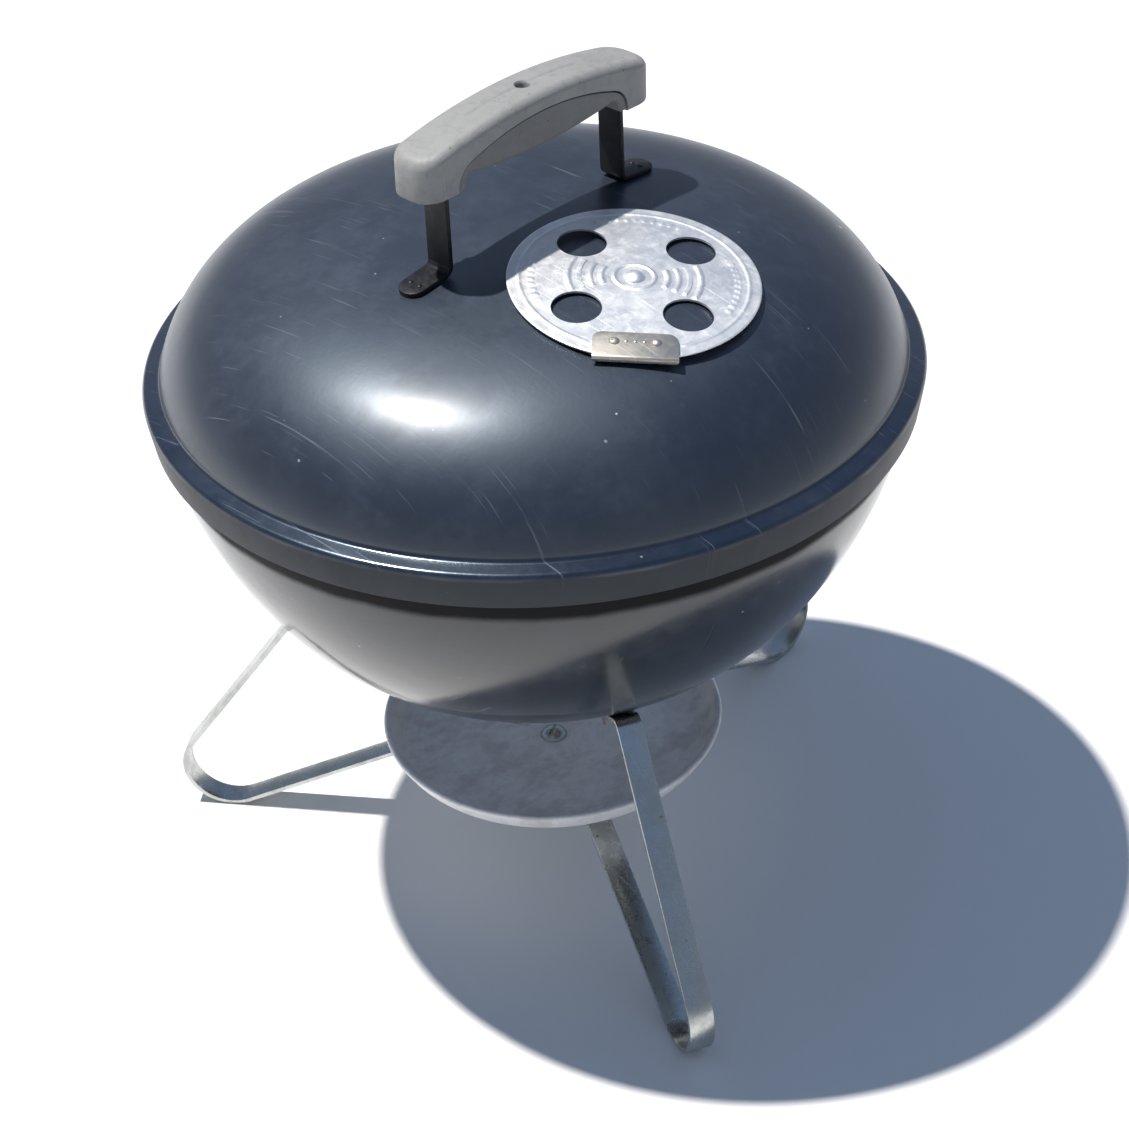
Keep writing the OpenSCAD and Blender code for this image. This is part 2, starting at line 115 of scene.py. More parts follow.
def blotchGroup():
    # soft patches: handling marks, water marks, dirt film
    g, gi, go = newGroup("blotches", [vectorIn, ("Scale", "NodeSocketFloat", 20.0),
        ("Low", "NodeSocketFloat", 0.45), ("High", "NodeSocketFloat", 0.7)], maskOut)
    a = noiseNode(g, gi.outputs["Vector"], gi.outputs["Scale"], 7.0, 0.6, 0.35)
    b = noiseNode(g, gi.outputs["Vector"], mathNode(g, "MULTIPLY", gi.outputs["Scale"], 6.3), 4.0, 0.6)
    mix = mathNode(g, "MULTIPLY_ADD", b, 0.3, mathNode(g, "MULTIPLY", a, 0.75))
    link(g, rangeNode(g, mix, gi.outputs["Low"], gi.outputs["High"]), go.inputs["Mask"])
    return g


def scratchGroup():
    # fine hairlines in three directions, broken up by a coarse mask
    g, gi, go = newGroup("hairScratches", [vectorIn, ("Fineness", "NodeSocketFloat", 1.0),
        ("Amount", "NodeSocketFloat", 0.5)], maskOut)
    spread = g.nodes.new("ShaderNodeVectorMath")
    spread.operation = "SCALE"
    link(g, gi.outputs["Vector"], spread.inputs[0])
    link(g, gi.outputs["Fineness"], spread.inputs["Scale"])
    total = None
    for angles, scale, place in (((10, 0, 27), (900, 14, 14), (0, 0, 0)), ((-15, 20, -38), (760, 10, 10), (3, 1, 5)),
                                 ((25, -10, 81), (1100, 20, 20), (7, 2, 1)), ((0, 35, 150), (640, 9, 9), (1, 8, 2))):
        lines = noiseNode(g, turned(g, spread.outputs[0], angles, scale, place), 1.0, 2.0, 0.5)
        patch = noiseNode(g, turned(g, gi.outputs["Vector"], angles, (22, 22, 22), place), 1.0, 2.0, 0.5)
        low = mathNode(g, "MULTIPLY_ADD", gi.outputs["Amount"], -0.12, 0.76)
        line = rangeNode(g, lines, low, mathNode(g, "ADD", low, 0.07))
        one = mathNode(g, "MULTIPLY", line, rangeNode(g, patch, 0.48, 0.62))
        total = one if total is None else mathNode(g, "MAXIMUM", total, one)
    link(g, total, go.inputs["Mask"])
    return g


def speckGroup():
    # sparse chips, dust or spatter: a random few of the cells carry a small dot
    g, gi, go = newGroup("specks", [vectorIn, ("Scale", "NodeSocketFloat", 120.0),
        ("Size", "NodeSocketFloat", 0.2), ("Share", "NodeSocketFloat", 0.1)], maskOut)
    wob = noiseNode(g, gi.outputs["Vector"], mathNode(g, "MULTIPLY", gi.outputs["Scale"], 2.3), 3.0)
    v = g.nodes.new("ShaderNodeTexVoronoi")
    v.inputs["Randomness"].default_value = 0.9
    link(g, gi.outputs["Vector"], v.inputs["Vector"])
    link(g, gi.outputs["Scale"], v.inputs["Scale"])
    sep = g.nodes.new("ShaderNodeSeparateColor")
    link(g, v.outputs["Color"], sep.inputs[0])
    on = mathNode(g, "LESS_THAN", sep.outputs[0], gi.outputs["Share"])
    size = mathNode(g, "MULTIPLY", gi.outputs["Size"], mathNode(g, "MULTIPLY_ADD", sep.outputs[1], 0.8, 0.3))
    d = mathNode(g, "ADD", v.outputs["Distance"], mathNode(g, "MULTIPLY_ADD", wob, 0.3, -0.15))
    dot = rangeNode(g, d, size, mathNode(g, "MULTIPLY", size, 0.6))
    link(g, mathNode(g, "MULTIPLY", dot, on), go.inputs["Mask"])
    return g


def turnedGroup():
    # rings left by spinning or rolling round an upright axis at the given place
    g, gi, go = newGroup("turnedRings", [vectorIn, ("Centre", "NodeSocketVector", (0, 0, 0)),
        ("Scale", "NodeSocketFloat", 900.0)], maskOut)
    off = g.nodes.new("ShaderNodeVectorMath")
    off.operation = "SUBTRACT"
    link(g, gi.outputs["Vector"], off.inputs[0])
    link(g, gi.outputs["Centre"], off.inputs[1])
    sep = g.nodes.new("ShaderNodeSeparateXYZ")
    link(g, off.outputs[0], sep.inputs[0])
    squares = [mathNode(g, "MULTIPLY", sep.outputs[k], sep.outputs[k]) for k in (0, 1)]
    radius = mathNode(g, "SQRT", mathNode(g, "ADD", *squares))
    comb = g.nodes.new("ShaderNodeCombineXYZ")
    link(g, mathNode(g, "MULTIPLY", radius, gi.outputs["Scale"]), comb.inputs[0])
    ang = mathNode(g, "ARCTAN2", sep.outputs[1], sep.outputs[0])
    link(g, mathNode(g, "MULTIPLY", mathNode(g, "COSINE", ang), 0.8), comb.inputs[1])
    link(g, mathNode(g, "MULTIPLY", mathNode(g, "SINE", ang), 0.8), comb.inputs[2])
    link(g, noiseNode(g, comb.outputs[0], 1.0, 3.0, 0.6), go.inputs["Mask"])
    return g


groups = {"blotches": blotchGroup(), "scratches": scratchGroup(), "specks": speckGroup(), "rings": turnedGroup()}


def startMaterial(name, colour, metallic, roughness):
    m = bpy.data.materials.new(name)
    m.use_nodes = True
    t = m.node_tree
    bsdf = t.nodes["Principled BSDF"]
    bsdf.inputs["Base Color"].default_value = (*colour, 1)
    bsdf.inputs["Metallic"].default_value = metallic
    bsdf.inputs["Roughness"].default_value = roughness
    coord = t.nodes.new("ShaderNodeTexCoord")
    return m, t, bsdf, coord.outputs["Object"]


def useGroup(t, name, vec, out="Mask", **values):
    n = t.nodes.new("ShaderNodeGroup")
    n.node_tree = groups[name]
    link(t, vec, n.inputs["Vector"])
    for k, v in values.items():
        n.inputs[k].default_value = v
    return n.outputs[out]


def mixColour(t, a, b, factor, amount=1.0):
    n = t.nodes.new("ShaderNodeMix")
    n.data_type = "RGBA"
    for v, s in ((a, n.inputs["A"]), (b, n.inputs["B"])):
        if isinstance(v, tuple):
            s.default_value = (*v, 1)
        else:
            link(t, v, s)
    link(t, mathNode(t, "MULTIPLY", factor, amount, clamp=True), n.inputs["Factor"])
    return n.outputs["Result"]


def bumpNode(t, bsdf, height, strength, distance):
    n = t.nodes.new("ShaderNodeBump")
    n.inputs["Strength"].default_value = strength
    n.inputs["Distance"].default_value = distance
    link(t, height, n.inputs["Height"])
    link(t, n.outputs[0], bsdf.inputs["Normal"])


def addUp(t, base, *terms):
    out = None
    for mask, amount in terms:
        out = mathNode(t, "MULTIPLY_ADD", mask, amount, base if out is None else out)
    return out


def attributeNode(t, name):
    n = t.nodes.new("ShaderNodeAttribute")
    n.attribute_name = name
    return n.outputs["Fac"]


enamelLook = {"black": (0.005, 0.0078, 0.0165), "film": (0.05, 0.06, 0.085), "chip": (0.55, 0.57, 0.6), "bend": 1.52,
    "rough": 0.3, "smudge": 0.12, "coat": 0.5, "coatRough": 0.2, "hair": 0.35, "skyTint": (0.95, 0.97, 1.0)}


def enamelMaterial(name, look, film, chips, smooth, darkBand):
    # smooth and darkBand: heights between which the surface gets glossier, or gets darker and matt; on the bowl, just
    # under the lid's skirt, that dark band is painted shade
    m, t, bsdf, obj = startMaterial(name, look["black"], 0.0, look["rough"])
    sep = t.nodes.new("ShaderNodeSeparateXYZ")
    link(t, obj, sep.inputs[0])
    smear = useGroup(t, "blotches", obj, Scale=16.0, Low=0.44, High=0.68)
    dust = useGroup(t, "blotches", turned(t, obj, (0, 0, 40), (1, 1, 1), (0.3, 0.1, 0.2)), Scale=34.0, Low=0.5, High=0.75)
    hair = useGroup(t, "scratches", obj, Fineness=1.0, Amount=look["hair"])
    chip = useGroup(t, "specks", obj, Scale=55.0, Size=0.075, Share=chips)
    dot = useGroup(t, "specks", turned(t, obj, (30, 10, 5), (1, 1, 1), (0.5, 0, 0)), Scale=210.0, Size=0.17, Share=0.035)
    wearAndHighlight = mathNode(t, "MULTIPLY", attributeNode(t, "rub"), useGroup(t, "blotches", obj, Scale=70.0, Low=0.46, High=0.6))
    c = mixColour(t, look["black"], look["film"], dust, film)
    c = mixColour(t, c, look["film"], smear, film * 0.5)
    c = mixColour(t, c, (0.2, 0.22, 0.25), hair, 0.3)
    c = mixColour(t, c, look["chip"], dot, 0.35)
    c = mixColour(t, c, look["chip"], chip, 0.8)
    # rubbed edges go lighter: wear, and on the lid's flange edge also a painted highlight line
    c = mixColour(t, c, (0.5, 0.52, 0.56), wearAndHighlight, 0.75)
    r = addUp(t, look["rough"], (smear, look["smudge"]), (dust, 0.08), (hair, 0.18), (wearAndHighlight, 0.1), (chip, 0.3))
    if smooth:
        low = mathNode(t, "MAXIMUM", rangeNode(t, sep.outputs[2], smooth[1], smooth[2], 0.5, 1.0),
                       rangeNode(t, sep.outputs[2], smooth[0], smooth[1], 1.0, 0.5))
        r = mathNode(t, "MULTIPLY", r, low)
        link(t, mathNode(t, "MULTIPLY", low, look["coatRough"]), bsdf.inputs["Coat Roughness"])
    else:
        bsdf.inputs["Coat Roughness"].default_value = look["coatRough"]
    # the dark band: darker colour, rougher, less specular and no coat; on the bowl this is painted shade
    if darkBand:
        edge = mathNode(t, "MULTIPLY_ADD", noiseNode(t, obj, 30.0, 4.0), 0.004, sep.outputs[2])
        darkening = rangeNode(t, edge, darkBand[0], darkBand[1])
        darkening = mathNode(t, "MULTIPLY", darkening, darkBand[2])
        c = mixColour(t, c, (0.008, 0.008, 0.009), darkening)
        r = addUp(t, r, (darkening, 0.3))
        link(t, mathNode(t, "MULTIPLY_ADD", darkening, -0.45, 0.5), bsdf.inputs["Specular IOR Level"])
        link(t, mathNode(t, "MULTIPLY_ADD", darkening, -look["coat"], look["coat"]), bsdf.inputs["Coat Weight"])
    else:
        bsdf.inputs["Coat Weight"].default_value = look["coat"]
    link(t, c, bsdf.inputs["Base Color"])
    link(t, r, bsdf.inputs["Roughness"])
    bsdf.inputs["IOR"].default_value = look["bend"]
    # a blue tint on every reflection: painted sky colour in the reflections
    bsdf.inputs["Specular Tint"].default_value = (*look["skyTint"], 1)
    peel = noiseNode(t, obj, 420.0, 2.0, 0.5)
    wave = noiseNode(t, obj, 45.0, 2.0, 0.5)
    h = mathNode(t, "MULTIPLY_ADD", peel, 0.35, mathNode(t, "MULTIPLY", wave, 1.0))
    h = addUp(t, h, (chip, -1.2), (hair, -0.25), (wearAndHighlight, -0.5))
    bumpNode(t, bsdf, h, 0.22, 0.0005)
    return m


plateLook = {"bright": (0.56, 0.58, 0.565), "dull": (0.33, 0.34, 0.31), "rust": (0.20, 0.13, 0.07), "rough": 0.22}


def platedMaterial(name, look, tarnish=0.5, rustShare=0.05):
    m, t, bsdf, obj = startMaterial(name, look["bright"], 1.0, look["rough"])
    cloud = useGroup(t, "blotches", obj, Scale=42.0, Low=0.42, High=0.7)
    fine = useGroup(t, "blotches", obj, Scale=160.0, Low=0.45, High=0.7)
    hair = useGroup(t, "scratches", obj, Fineness=1.4, Amount=0.7)
    spot = useGroup(t, "specks", obj, Scale=330.0, Size=0.3, Share=rustShare)
    c = mixColour(t, look["bright"], look["dull"], cloud, tarnish)
    c = mixColour(t, c, look["dull"], fine, tarnish * 0.5)
    c = mixColour(t, c, (0.85, 0.86, 0.85), hair, 0.5)
    c = mixColour(t, c, look["rust"], spot, 0.7)
    link(t, c, bsdf.inputs["Base Color"])
    link(t, addUp(t, 1.0, (spot, -0.6)), bsdf.inputs["Metallic"])
    link(t, addUp(t, look["rough"], (cloud, 0.16), (fine, 0.1), (hair, 0.15), (spot, 0.4)), bsdf.inputs["Roughness"])
    h = mathNode(t, "ADD", noiseNode(t, obj, 90.0, 3.0), addUp(t, 0.0, (hair, -0.4), (fine, 0.3)))
    bumpNode(t, bsdf, h, 0.25, 0.0002)
    return m


gripLook = {"face": (0.29, 0.289, 0.277), "dirt": (0.13, 0.122, 0.108), "rub": (0.4, 0.396, 0.38), "rough": 0.5}


def gripMaterial(name, look, paintedShade):
    # paintedShade scales the whole colour down: a painted-shade copy of the grip plastic
    face = tuple(v * paintedShade for v in look["face"])
    m, t, bsdf, obj = startMaterial(name, face, 0.0, look["rough"])
    cloud = useGroup(t, "blotches", obj, Scale=38.0, Low=0.42, High=0.75)
    fine = useGroup(t, "blotches", obj, Scale=230.0, Low=0.48, High=0.7)
    hair = useGroup(t, "scratches", obj, Fineness=1.2, Amount=0.6)
    dot = useGroup(t, "specks", obj, Scale=420.0, Size=0.3, Share=0.05)
    rub = mathNode(t, "MULTIPLY", attributeNode(t, "rub"), useGroup(t, "blotches", obj, Scale=55.0, Low=0.38, High=0.62))
    c = mixColour(t, face, look["dirt"], cloud, 0.22)
    c = mixColour(t, c, look["dirt"], fine, 0.25)
    c = mixColour(t, c, look["rub"], rub, 0.5)
    c = mixColour(t, c, look["rub"], hair, 0.45)
    c = mixColour(t, c, (0.05, 0.045, 0.04), dot, 0.55)
    link(t, c, bsdf.inputs["Base Color"])
    link(t, addUp(t, look["rough"], (cloud, 0.1), (rub, -0.1), (hair, 0.1)), bsdf.inputs["Roughness"])
    grain = noiseNode(t, obj, 1500.0, 3.0, 0.6)
    h = addUp(t, grain, (fine, 0.6), (hair, -0.6))
    bumpNode(t, bsdf, h, 0.5, 0.0002)
    return m


def strapMaterial(name):
    m, t, bsdf, obj = startMaterial(name, (0.012, 0.012, 0.013), 0.0, 0.36)
    cloud = useGroup(t, "blotches", obj, Scale=60.0, Low=0.45, High=0.7)
    hair = useGroup(t, "scratches", obj, Fineness=1.5, Amount=0.7)
    rub = mathNode(t, "MULTIPLY", attributeNode(t, "rub"), useGroup(t, "blotches", obj, Scale=120.0, Low=0.5, High=0.62))
    c = mixColour(t, (0.008, 0.008, 0.01), (0.03, 0.03, 0.03), cloud, 0.5)
    c = mixColour(t, c, (0.16, 0.16, 0.16), hair, 0.5)
    c = mixColour(t, c, (0.3, 0.3, 0.29), rub, 0.7)
    link(t, c, bsdf.inputs["Base Color"])
    link(t, addUp(t, 0.36, (cloud, 0.2), (hair, 0.1)), bsdf.inputs["Roughness"])
    bsdf.inputs["Specular IOR Level"].default_value = 0.3
    bumpNode(t, bsdf, noiseNode(t, obj, 700.0, 3.0), 0.25, 0.0002)
    return m


discLook = {"bright": (0.9, 0.905, 0.91), "dull": (0.74, 0.74, 0.74), "dirt": (0.25, 0.23, 0.2), "rough": 0.42, "metal": 0.9}


def aluminiumMaterial(name, look, centre, stains, rings, brushed=0.0):
    m, t, bsdf, obj = startMaterial(name, look["bright"], look["metal"], look["rough"])
    cloud = useGroup(t, "blotches", obj, Scale=30.0, Low=0.42, High=0.72)
    stain = useGroup(t, "blotches", turned(t, obj, (0, 0, 65), (1, 1.6, 1), (0.2, 0.4, 0)), Scale=24.0, Low=0.5, High=0.64)
    fine = useGroup(t, "blotches", obj, Scale=190.0, Low=0.46, High=0.7)
    hair = useGroup(t, "scratches", obj, Fineness=1.0, Amount=0.85)
    dot = useGroup(t, "specks", obj, Scale=150.0, Size=0.22, Share=0.05)
    ring = useGroup(t, "rings", obj, Centre=centre, Scale=950.0)
    long = noiseNode(t, turned(t, obj, (0, 0, 35), (60, 2600, 60)), 1.0, 2.0)
    c = mixColour(t, look["bright"], look["dull"], cloud, 0.7)
    c = mixColour(t, c, look["dull"], rangeNode(t, ring, 0.45, 0.6), rings)
    c = mixColour(t, c, look["dull"], rangeNode(t, long, 0.45, 0.6), brushed)
    c = mixColour(t, c, look["dirt"], stain, stains)
    c = mixColour(t, c, look["dirt"], fine, stains * 0.4)
    c = mixColour(t, c, (0.92, 0.92, 0.92), hair, 0.4)
    c = mixColour(t, c, (0.07, 0.06, 0.05), dot, 0.2 + stains * 0.7)
    link(t, c, bsdf.inputs["Base Color"])
    link(t, addUp(t, look["metal"], (stain, -0.5 * stains), (dot, -0.3)), bsdf.inputs["Metallic"])
    r = addUp(t, look["rough"], (cloud, 0.12), (stain, 0.22 * stains + 0.04), (fine, 0.1), (hair, 0.08))
    link(t, r, bsdf.inputs["Roughness"])
    h = addUp(t, noiseNode(t, obj, 240.0, 3.0), (ring, 1.2 * rings), (long, brushed), (hair, -0.5), (dot, 0.6),
              (stain, 0.4 * stains))
    bumpNode(t, bsdf, h, 0.3, 0.0002)
    return m


# modelling helpers

def rubFaces(bm, faces):
    layer = bm.faces.layers.float.get("rub") or bm.faces.layers.float.new("rub")
    for f in faces:
        if f.is_valid:
            f[layer] = 1.0


def addObject(name, data):
    ob = bpy.data.objects.new(name, data)
    scene.collection.objects.link(ob)
    return ob


def addMesh(name, bm):
    me = bpy.data.meshes.new(name)
    bm.to_mesh(me)
    bm.free()
    return addObject(name, me)


def picked(geom, kind=bmesh.types.BMVert):
    return [g for g in geom if isinstance(g, kind)]


def makePiece(bm, name, body, material, replaced, angle):
    # sharp where faces meet at more than the angle; made in millimetres
    bm.faces.layers.float.get("rub") or bm.faces.layers.float.new("rub")
    bmesh.ops.scale(bm, vec=(mm, mm, mm), verts=bm.verts)
    bmesh.ops.remove_doubles(bm, verts=bm.verts, dist=2e-7)
    for f in bm.faces:
        f.smooth = True
    for e in bm.edges:
        if len(e.link_faces) == 2 and e.calc_face_angle(0.0) > radians(angle):
            e.smooth = False
    ob = addMesh(name, bm)
    ob.data.materials.append(material)
    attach(ob, body)
    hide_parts(*replaced)


def spun(bm, points, closed=False, steps=192, matrix=None):
    vs = [bm.verts.new((r, 0, z)) for r, z in points]
    es = [bm.edges.new(p) for p in zip(vs, vs[1:])]
    if closed:
        es.append(bm.edges.new((vs[-1], vs[0])))
    before = set(bm.verts)
    bmesh.ops.spin(bm, geom=vs + es, cent=(0, 0, 0), axis=(0, 0, 1), angle=2 * pi, steps=steps, use_merge=True)
    mine = list((set(bm.verts) - before) | set(vs))
    bmesh.ops.remove_doubles(bm, verts=mine, dist=1e-4)
    mine = [v for v in mine if v.is_valid]
    faces = list({f for v in mine for f in v.link_faces})
    bmesh.ops.recalc_face_normals(bm, faces=faces)
    if matrix:
        bmesh.ops.transform(bm, matrix=matrix, verts=mine)


def roundedLine(points, radii, n=6):
    # corner points and their rounding radii, as one smooth line
    out = [Vector(points[0])]
    for a, b, c, r in zip(points, points[1:], points[2:], radii[1:]):
        a, b, c = Vector(a), Vector(b), Vector(c)
        if r <= 0:
            out.append(b)
            continue
        u, w = (a - b).normalized(), (c - b).normalized()
        half = acos(max(-1, min(1, u.dot(w)))) / 2
        d = r / tan(half)
        o = b + (u + w).normalized() * (r / sin(half))
        s, e = b + u * d, b + w * d
        a0, a1 = atan2(s.y - o.y, s.x - o.x), atan2(e.y - o.y, e.x - o.x)
        da = (a1 - a0 + pi) % (2 * pi) - pi
        out += [o + Vector((cos(a0 + da * k / n), sin(a0 + da * k / n))) * r for k in range(n + 1)]
    out.append(Vector(points[-1]))
    return [(v.x, v.y) for v in out]


def cutWith(bm, cutters):
    base = addMesh("cutBase", bm)
    tools = []
    for c in cutters:
        tool = addMesh("cutTool", c)
        mod = base.modifiers.new("cut", "BOOLEAN")
        mod.operation = "DIFFERENCE"
        mod.solver = "EXACT"
        mod.object = tool
        tools.append(tool)
    bpy.context.view_layer.update()
    done = bpy.data.meshes.new_from_object(base.evaluated_get(bpy.context.evaluated_depsgraph_get()))
    out = bmesh.new()
    out.from_mesh(done)
    for o in [base] + tools:
        bpy.data.objects.remove(o)
    return out


def drill(radius, matrix, depth=40, steps=64):
    c = bmesh.new()
    bmesh.ops.create_cone(c, cap_ends=True, segments=steps, radius1=radius, radius2=radius, depth=depth, matrix=matrix)
    return c


def boxMm(node):
    low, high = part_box(node)
    return Vector(low) * 1000, Vector(high) * 1000


def ringSteps(low, high, n):
    return [low + (high - low) * k / n for k in range(n + 1)]


def sharpBevel(bm, width, segments=2, angle=40, keep=None):
    es = [e for e in bm.edges if len(e.link_faces) == 2 and e.calc_face_angle(0) > radians(angle)
          and (keep is None or keep(e))]
    return bmesh.ops.bevel(bm, geom=es, offset=width, offset_type="OFFSET", segments=segments, profile=0.5,
                           affect="EDGES", material=-1, clamp_overlap=True)["faces"]


class Strip:
    # a flat bar bent in the XZ plane, one straight or bend after another

    def __init__(self, start, heading, width, thick):
        self.bm = bmesh.new()
        self.pos = Vector((start[0], 0, start[1]))
        self.angle = radians(heading)
        self.thick = thick
        bmesh.ops.create_grid(self.bm, x_segments=1, y_segments=1, size=0.5)
        turn = Matrix.Translation(self.pos) @ Matrix.Rotation(-self.angle, 4, "Y") @ Matrix.Rotation(pi / 2, 4, "Y")
        bmesh.ops.scale(self.bm, vec=(thick, width, 1), verts=self.bm.verts)
        bmesh.ops.transform(self.bm, matrix=turn, verts=self.bm.verts)
        self.head = list(self.bm.edges)

    def way(self):
        return Vector((cos(self.angle), 0, sin(self.angle)))

    def go(self, length):
        geom = bmesh.ops.extrude_edge_only(self.bm, edges=self.head)["geom"]
        bmesh.ops.translate(self.bm, vec=self.way() * length, verts=picked(geom))
        self.head = picked(geom, bmesh.types.BMEdge)
        self.pos += self.way() * length
        return self

    def turn(self, sweep, radius, steps):
        side = 1 if sweep > 0 else -1
        h = self.way()
        centre = self.pos + Vector((-h.z, 0, h.x)) * (radius * side)
        verts = list({v for e in self.head for v in e.verts})
        last = bmesh.ops.spin(self.bm, geom=self.head + verts, cent=centre, axis=(0, -1, 0), angle=radians(sweep),
                              steps=steps, use_merge=False)["geom_last"]
        self.head = picked(last, bmesh.types.BMEdge)
        self.pos = centre + Matrix.Rotation(-radians(sweep), 3, "Y") @ (self.pos - centre)
        self.angle += radians(sweep)
        return self

    def close(self):
        bmesh.ops.edgeloop_fill(self.bm, edges=self.head)
        bmesh.ops.remove_doubles(self.bm, verts=self.bm.verts, dist=1e-4)
        bmesh.ops.recalc_face_normals(self.bm, faces=self.bm.faces)
        return self.bm


def roundEnd(bm, radius, near, segments=9):
    # the plan corners of a bar's end: edges along the thickness that near() picks
    es = [e for e in bm.edges if near(e) and len(e.link_faces) == 2 and e.calc_face_angle(0) > radians(60)
          and abs(e.verts[0].co.y - e.verts[1].co.y) < 0.01]
    bmesh.ops.bevel(bm, geom=es, offset=radius, offset_type="OFFSET", segments=segments, profile=0.5,
                    affect="EDGES", material=-1)


# materials

mats = {}
# the lid's strong blue skyTint is painted sky colour in the lid's reflections
lidPaint = dict(enamelLook, black=(0.0035, 0.006, 0.015), rough=0.47, coat=0.8, coatRough=0.31, hair=0.75, bend=1.7,
                skyTint=(0.66, 0.83, 1.0))
mats["lidEnamel"] = enamelMaterial("lidEnamel", lidPaint, 0.17, 0.08, (0.2868, 0.2885, 0.298), (0.2897, 0.287, 0.62))
bowlPaint = dict(enamelLook, black=(0.0075, 0.0085, 0.011), rough=0.14, smudge=0.08, coat=0.28, coatRough=0.1)
# the bowl's dark band under the lid's skirt is painted shade: darker colour and dimmer reflections
mats["bowlEnamel"] = enamelMaterial("bowlEnamel", bowlPaint, 0.2, 0.02, None, (0.258, 0.2635, 1.0))
mats["gripTop"] = gripMaterial("gripTop", gripLook, 1.0)
# the lower shell: the same plastic with painted shade, its colour scaled to 0.62
mats["gripUnderPaintedShade"] = gripMaterial("gripUnderPaintedShade", gripLook, 0.62)
mats["strap"] = strapMaterial("blackStrap")
mats["plate"] = platedMaterial("zincPlate", plateLook)
darkLook = dict(plateLook, bright=(0.34, 0.34, 0.32), dull=(0.2, 0.19, 0.17))
mats["plateDark"] = platedMaterial("darkPlate", darkLook, 0.7, 0.12)
tabLook = dict(plateLook, bright=(0.6, 0.565, 0.5), dull=(0.4, 0.365, 0.31), rough=0.4)
mats["tab"] = platedMaterial("tabSteel", tabLook, 0.7, 0.12)
grateLook = dict(plateLook, bright=(0.62, 0.62, 0.62), dull=(0.32, 0.29, 0.25))
mats["grate"] = platedMaterial("grateChrome", grateLook, 0.55, 0.2)
coalLook = dict(plateLook, bright=(0.3, 0.29, 0.28), dull=(0.14, 0.12, 0.11), rough=0.45)
mats["coal"] = platedMaterial("coalSteel", coalLook, 0.8, 0.3)
ventJoint = [j for j in frame["joints"] if j["name"] == "lid_damper_turn"][0]
ventPlace = Vector(ventJoint["pos_m"])
mats["disc"] = aluminiumMaterial("damperAluminium", discLook, tuple(ventPlace), 0.06, 0.25)
mats["bowlDisc"] = aluminiumMaterial("bowlDamperAluminium", dict(discLook, bright=(0.6, 0.6, 0.6)), (0, 0, 0), 0.5, 0.5)
panMetal = dict(discLook, bright=(0.93, 0.93, 0.925), dull=(0.8, 0.79, 0.775), dirt=(0.45, 0.42, 0.375), metal=0.15)
mats["pan"] = aluminiumMaterial("panAluminium", panMetal, (0, 0, 0), 0.35, 0.35, 0.45)
print("materials ready")

# lid

lidShape = {"domeRadius": 177.7, "baseHeight": 287.5, "domeHeight": 66.9, "across": 4.35, "upward": 1.5, "crown": 4.5,
            "crownRadius": 130, "sheet": 1.2, "ventRadius": 11, "ventReach": 35, "around": 256, "along": 80}


def lidHeight(r, inset=0.0):
    s = lidShape
    body = max(0.0, 1 - (r / (s["domeRadius"] - inset)) ** s["across"]) ** (1 / s["upward"])
    rise = s["crown"] * (1 - (r / s["crownRadius"]) ** 2) ** 2 if r < s["crownRadius"] else 0
    return s["baseHeight"] + (s["domeHeight"] - inset) * body + rise


lidLow, lidHigh = boxMm("lid_shell")
ventTurn = atan2(ventPlace.y, ventPlace.x) + pi / 2
ventSeat = Matrix.Translation((0, -ventPlace.xy.length * 1000, ventPlace.z * 1000))
ventAt = Matrix.Rotation(ventTurn, 4, "Z") @ ventSeat @ Matrix.Rotation(acos(ventJoint["axis"][2]), 4, "X")


def quarters(at, reach, first=0):
    # four places round the given one, a quarter turn apart
    return [at @ Matrix.Rotation(radians(first + 90 * k), 4, "Z") @ Matrix.Translation((reach, 0, 0)) for k in range(4)]


def buildLid():
    s = lidShape
    t = s["sheet"]
    skirt, low, base = lidHigh.x, lidLow.z, s["baseHeight"]
    sweep = [radians(a) for a in ringSteps(0, 85.6, s["along"])]
    outer = [(s["domeRadius"] * sin(a), lidHeight(s["domeRadius"] * sin(a))) for a in sweep]
    inner = [((s["domeRadius"] - t) * sin(a), lidHeight((s["domeRadius"] - t) * sin(a), t)) for a in sweep]
    rim = roundedLine([outer[-1], (177.9, base + 2.75), (skirt + 0.12, base + 0.75), (skirt - 2.8, low),
                       (skirt - 2.8 - t, low), (skirt - t - 0.1, base - 0.5), (177.5 - t, base + 1.6), inner[-1]],
                      [0, 2.4, 3.0, 0.5, 0.5, 1.8, 1.2, 0], 7)
    bm = bmesh.new()
    spun(bm, outer[:-1] + rim + inner[::-1][1:], steps=s["around"])
    bm = cutWith(bm, [drill(s["ventRadius"], at, 16) for at in quarters(ventAt, s["ventReach"], 45)])
    middles = [(f, f.calc_center_median()) for f in bm.faces]
    # rubbed faces at the flange's outer edge and the skirt's lower lip: wear, and on the flange edge also a painted
    # highlight line
    rubFaces(bm, [f for f, c in middles if c.z > base - 1.5 and c.xy.length > skirt - 1.9 or c.z < low + 0.8])
    makePiece(bm, "lidEnamelShell", "lid", mats["lidEnamel"], ["lid_shell"], 38)


buildLid()
print("lid ready")

# bowl

bowlShape = {"radius": 179.5, "top": 276, "depth": 151.3, "across": 3.06, "down": 1.37, "sheet": 1.2, "bead": 2.1,
             "ventRadius": 8.3, "ventReach": 24, "around": 256, "along": 80}


def bowlHeight(r, inset=0.0):
    s = bowlShape
    return s["top"] - (s["depth"] - inset) * max(0.0, 1 - (r / (s["radius"] - inset)) ** s["across"]) ** (1 / s["down"])


